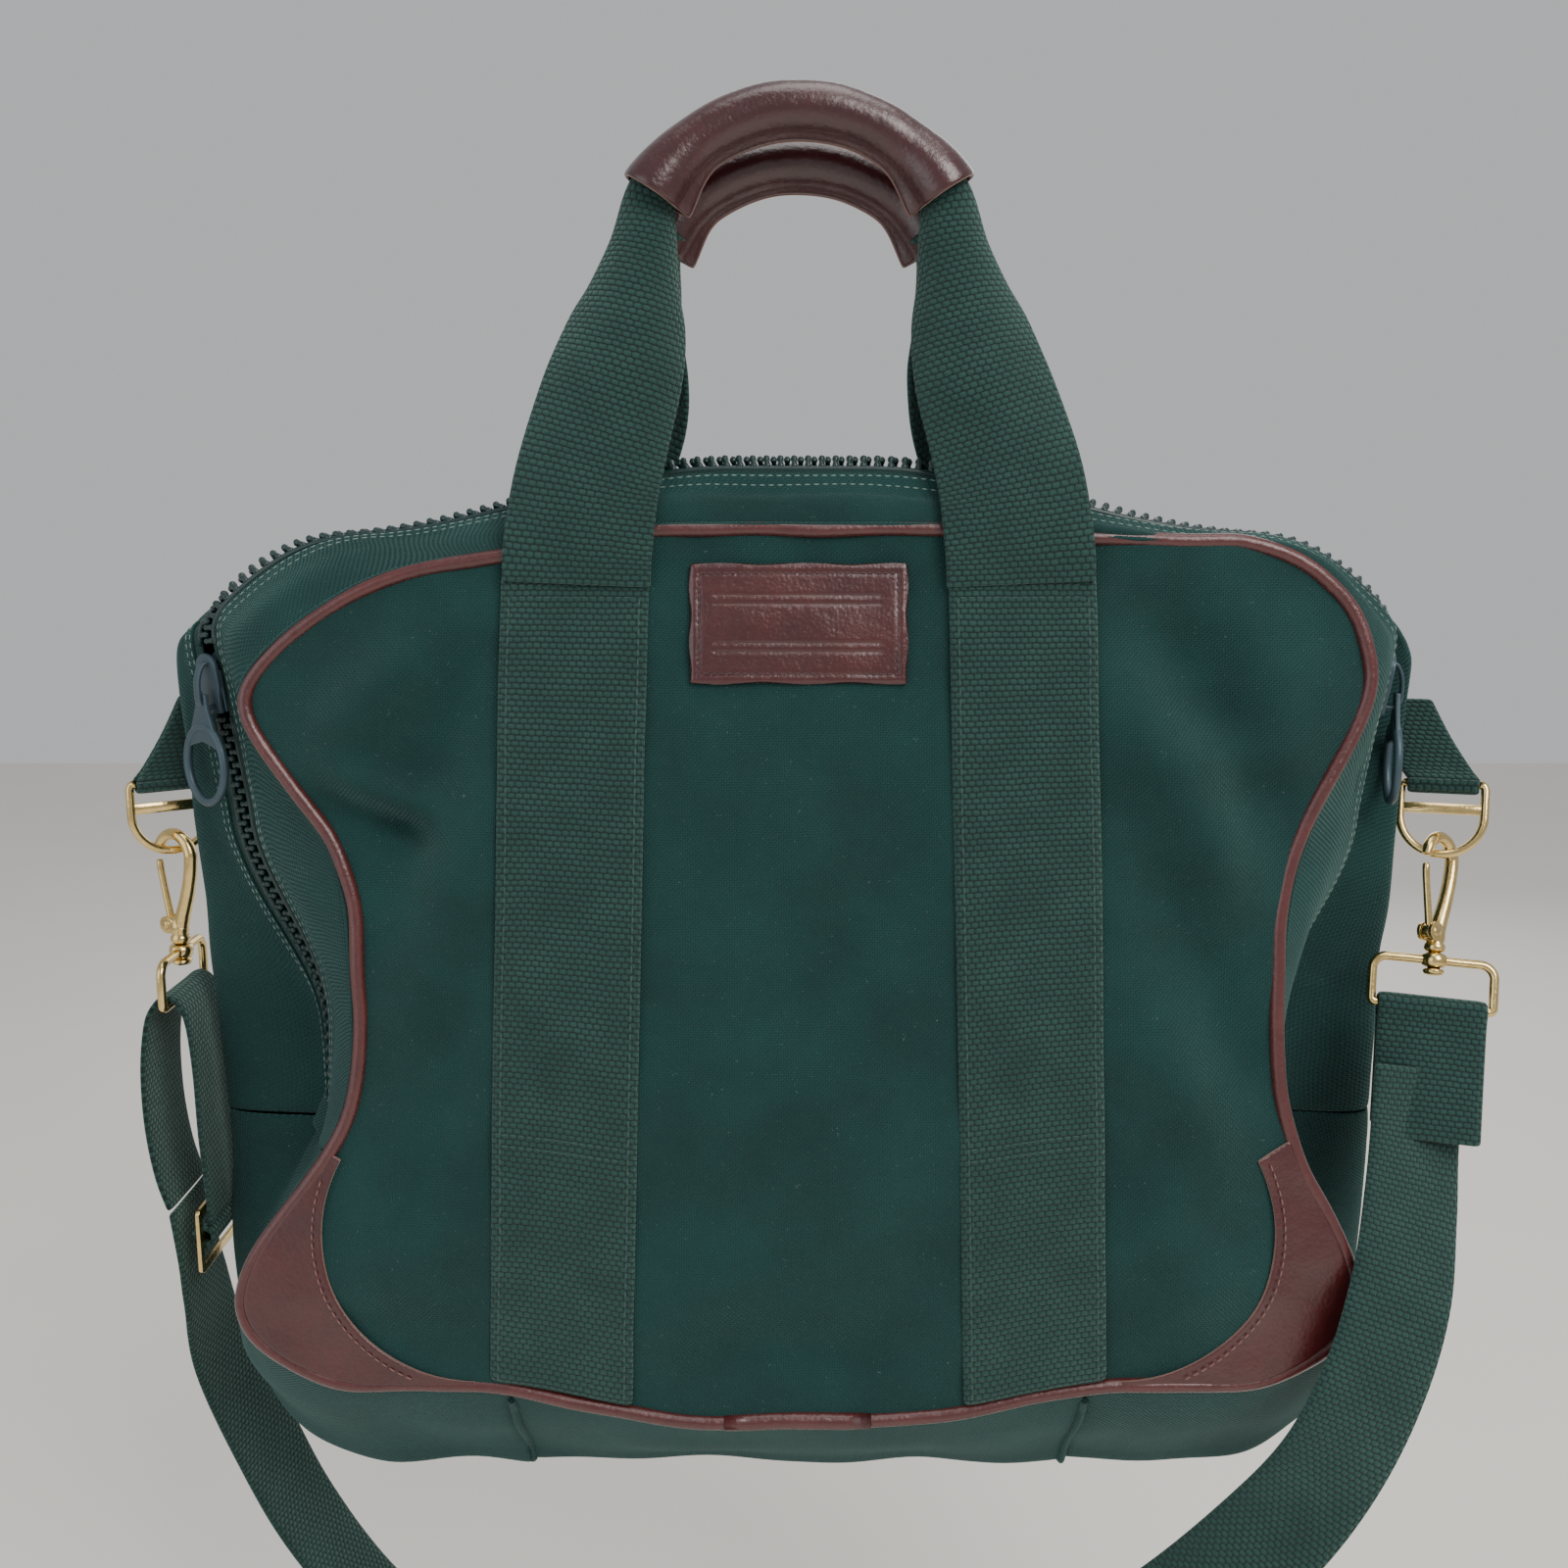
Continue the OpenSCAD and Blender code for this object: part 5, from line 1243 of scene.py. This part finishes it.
def rect(x0, x1, z0, z1, r=1.5):
    out = []
    for cx, cz, a in ((x1 - r, z1 - r, 0), (x0 + r, z1 - r, 90), (x0 + r, z0 + r, 180), (x1 - r, z0 + r, 270)):
        out += arc(cx, cz, r, a, a + 90, 5)
    return out


to_adj = lambda p: p[:, [1, 0, 2]] + [ax, ay, az]
frame_ob = slab("adjuster", rect(-23, 23, -13, 13, 2.5), 1.8, BRASS, to_adj, 0.5,
                [rect(-19.4, 19.4, 2, 9.5, 0.8)[::-1], rect(-19.4, 19.4, -9.5, -2, 0.8)[::-1]])
piece(frame_ob, "strap_slider", "strap_slider", slot="brass")
a = np.radians(np.linspace(-80, 260, 24))
C = np.stack([ax + 3.4 * np.sin(a), np.full(24, ay), az - 3.4 * np.cos(a)], 1)
piece(ribbon("strap_tail_loop_web", C, thick=2.1), "strap_slider", "strap_tail_loop", slot="webbing")

# Slip pocket inside the back panel, with a hemmed mouth.
X, Z = np.meshgrid(np.linspace(-130, 130, 40), np.linspace(-198, -366, 30), indexing="ij")
P, _ = on_face(BACK, X, Z, -1.9)
P[..., 1] -= 1.6 * smooth((Z + 230) / 32) * np.cos(X / 130 * math.pi / 2)
ob = grid("inner_pocket_cloth", P, [M["lining"]], 1.0)
piece(ob, "root", "inner_pocket", slot="canvas")
piece(tube("inner_pocket_hem", P[:, 0], 1.3, [M["lining"]], 8), "root", slot="canvas")

# ---------------------------------------------------------------- stage, light, camera


floor = Mat("stage")
floor.set(Base_Color=floor.mix(floor.noise(0.05, 2), (0.84, 0.8, 0.74), (0.88, 0.84, 0.78)), Roughness=0.8)
grid("stage", np.array([[(x, y, -0.7) for y in (-3, 3)] for x in (3, -3)]) / MM, [floor.m])


def area(name, loc, target, size, power, color):
    d = bpy.data.lights.new(name, "AREA")
    d.shape = "RECTANGLE"
    d.size, d.size_y = size
    d.energy = power
    d.color = color
    o = bpy.data.objects.new(name, d)
    o.location = loc
    o.rotation_euler = (Vector(target) - Vector(loc)).to_track_quat("-Z", "Y").to_euler()
    bpy.context.scene.collection.objects.link(o)


area("key", (0.75, -1.05, 0.75), (0, 0, -0.28), (0.9, 0.9), 21, (1.0, 0.965, 0.92))
area("fill", (-1.1, -0.9, 0.1), (0, 0, -0.3), (1.2, 1.2), 6, (0.93, 0.96, 1.0))
area("top", (0.1, -0.1, 1.2), (0, 0, -0.2), (1.0, 0.8), 8, (1.0, 0.98, 0.95))
area("rear", (0.4, 1.6, 0.3), (0, 0, -0.3), (1.2, 1.2), 6, (1, 1, 1))

world = bpy.data.worlds.new("world")
world.use_nodes = True
background = world.node_tree.nodes["Background"]
background.inputs[0].default_value = (0.92, 0.93, 0.95, 1)
background.inputs[1].default_value = 0.56
bpy.context.scene.world = world

cam = bpy.data.cameras.new("camera")
cam.lens, cam.sensor_width, cam.clip_start = 36, 36, 0.02
cam_ob = bpy.data.objects.new("camera", cam)
cam_ob.location = (-0.005, -0.561, -0.1207)
cam_ob.rotation_euler = (math.radians(80), 0, 0)
bpy.context.scene.collection.objects.link(cam_ob)
bpy.context.scene.camera = cam_ob
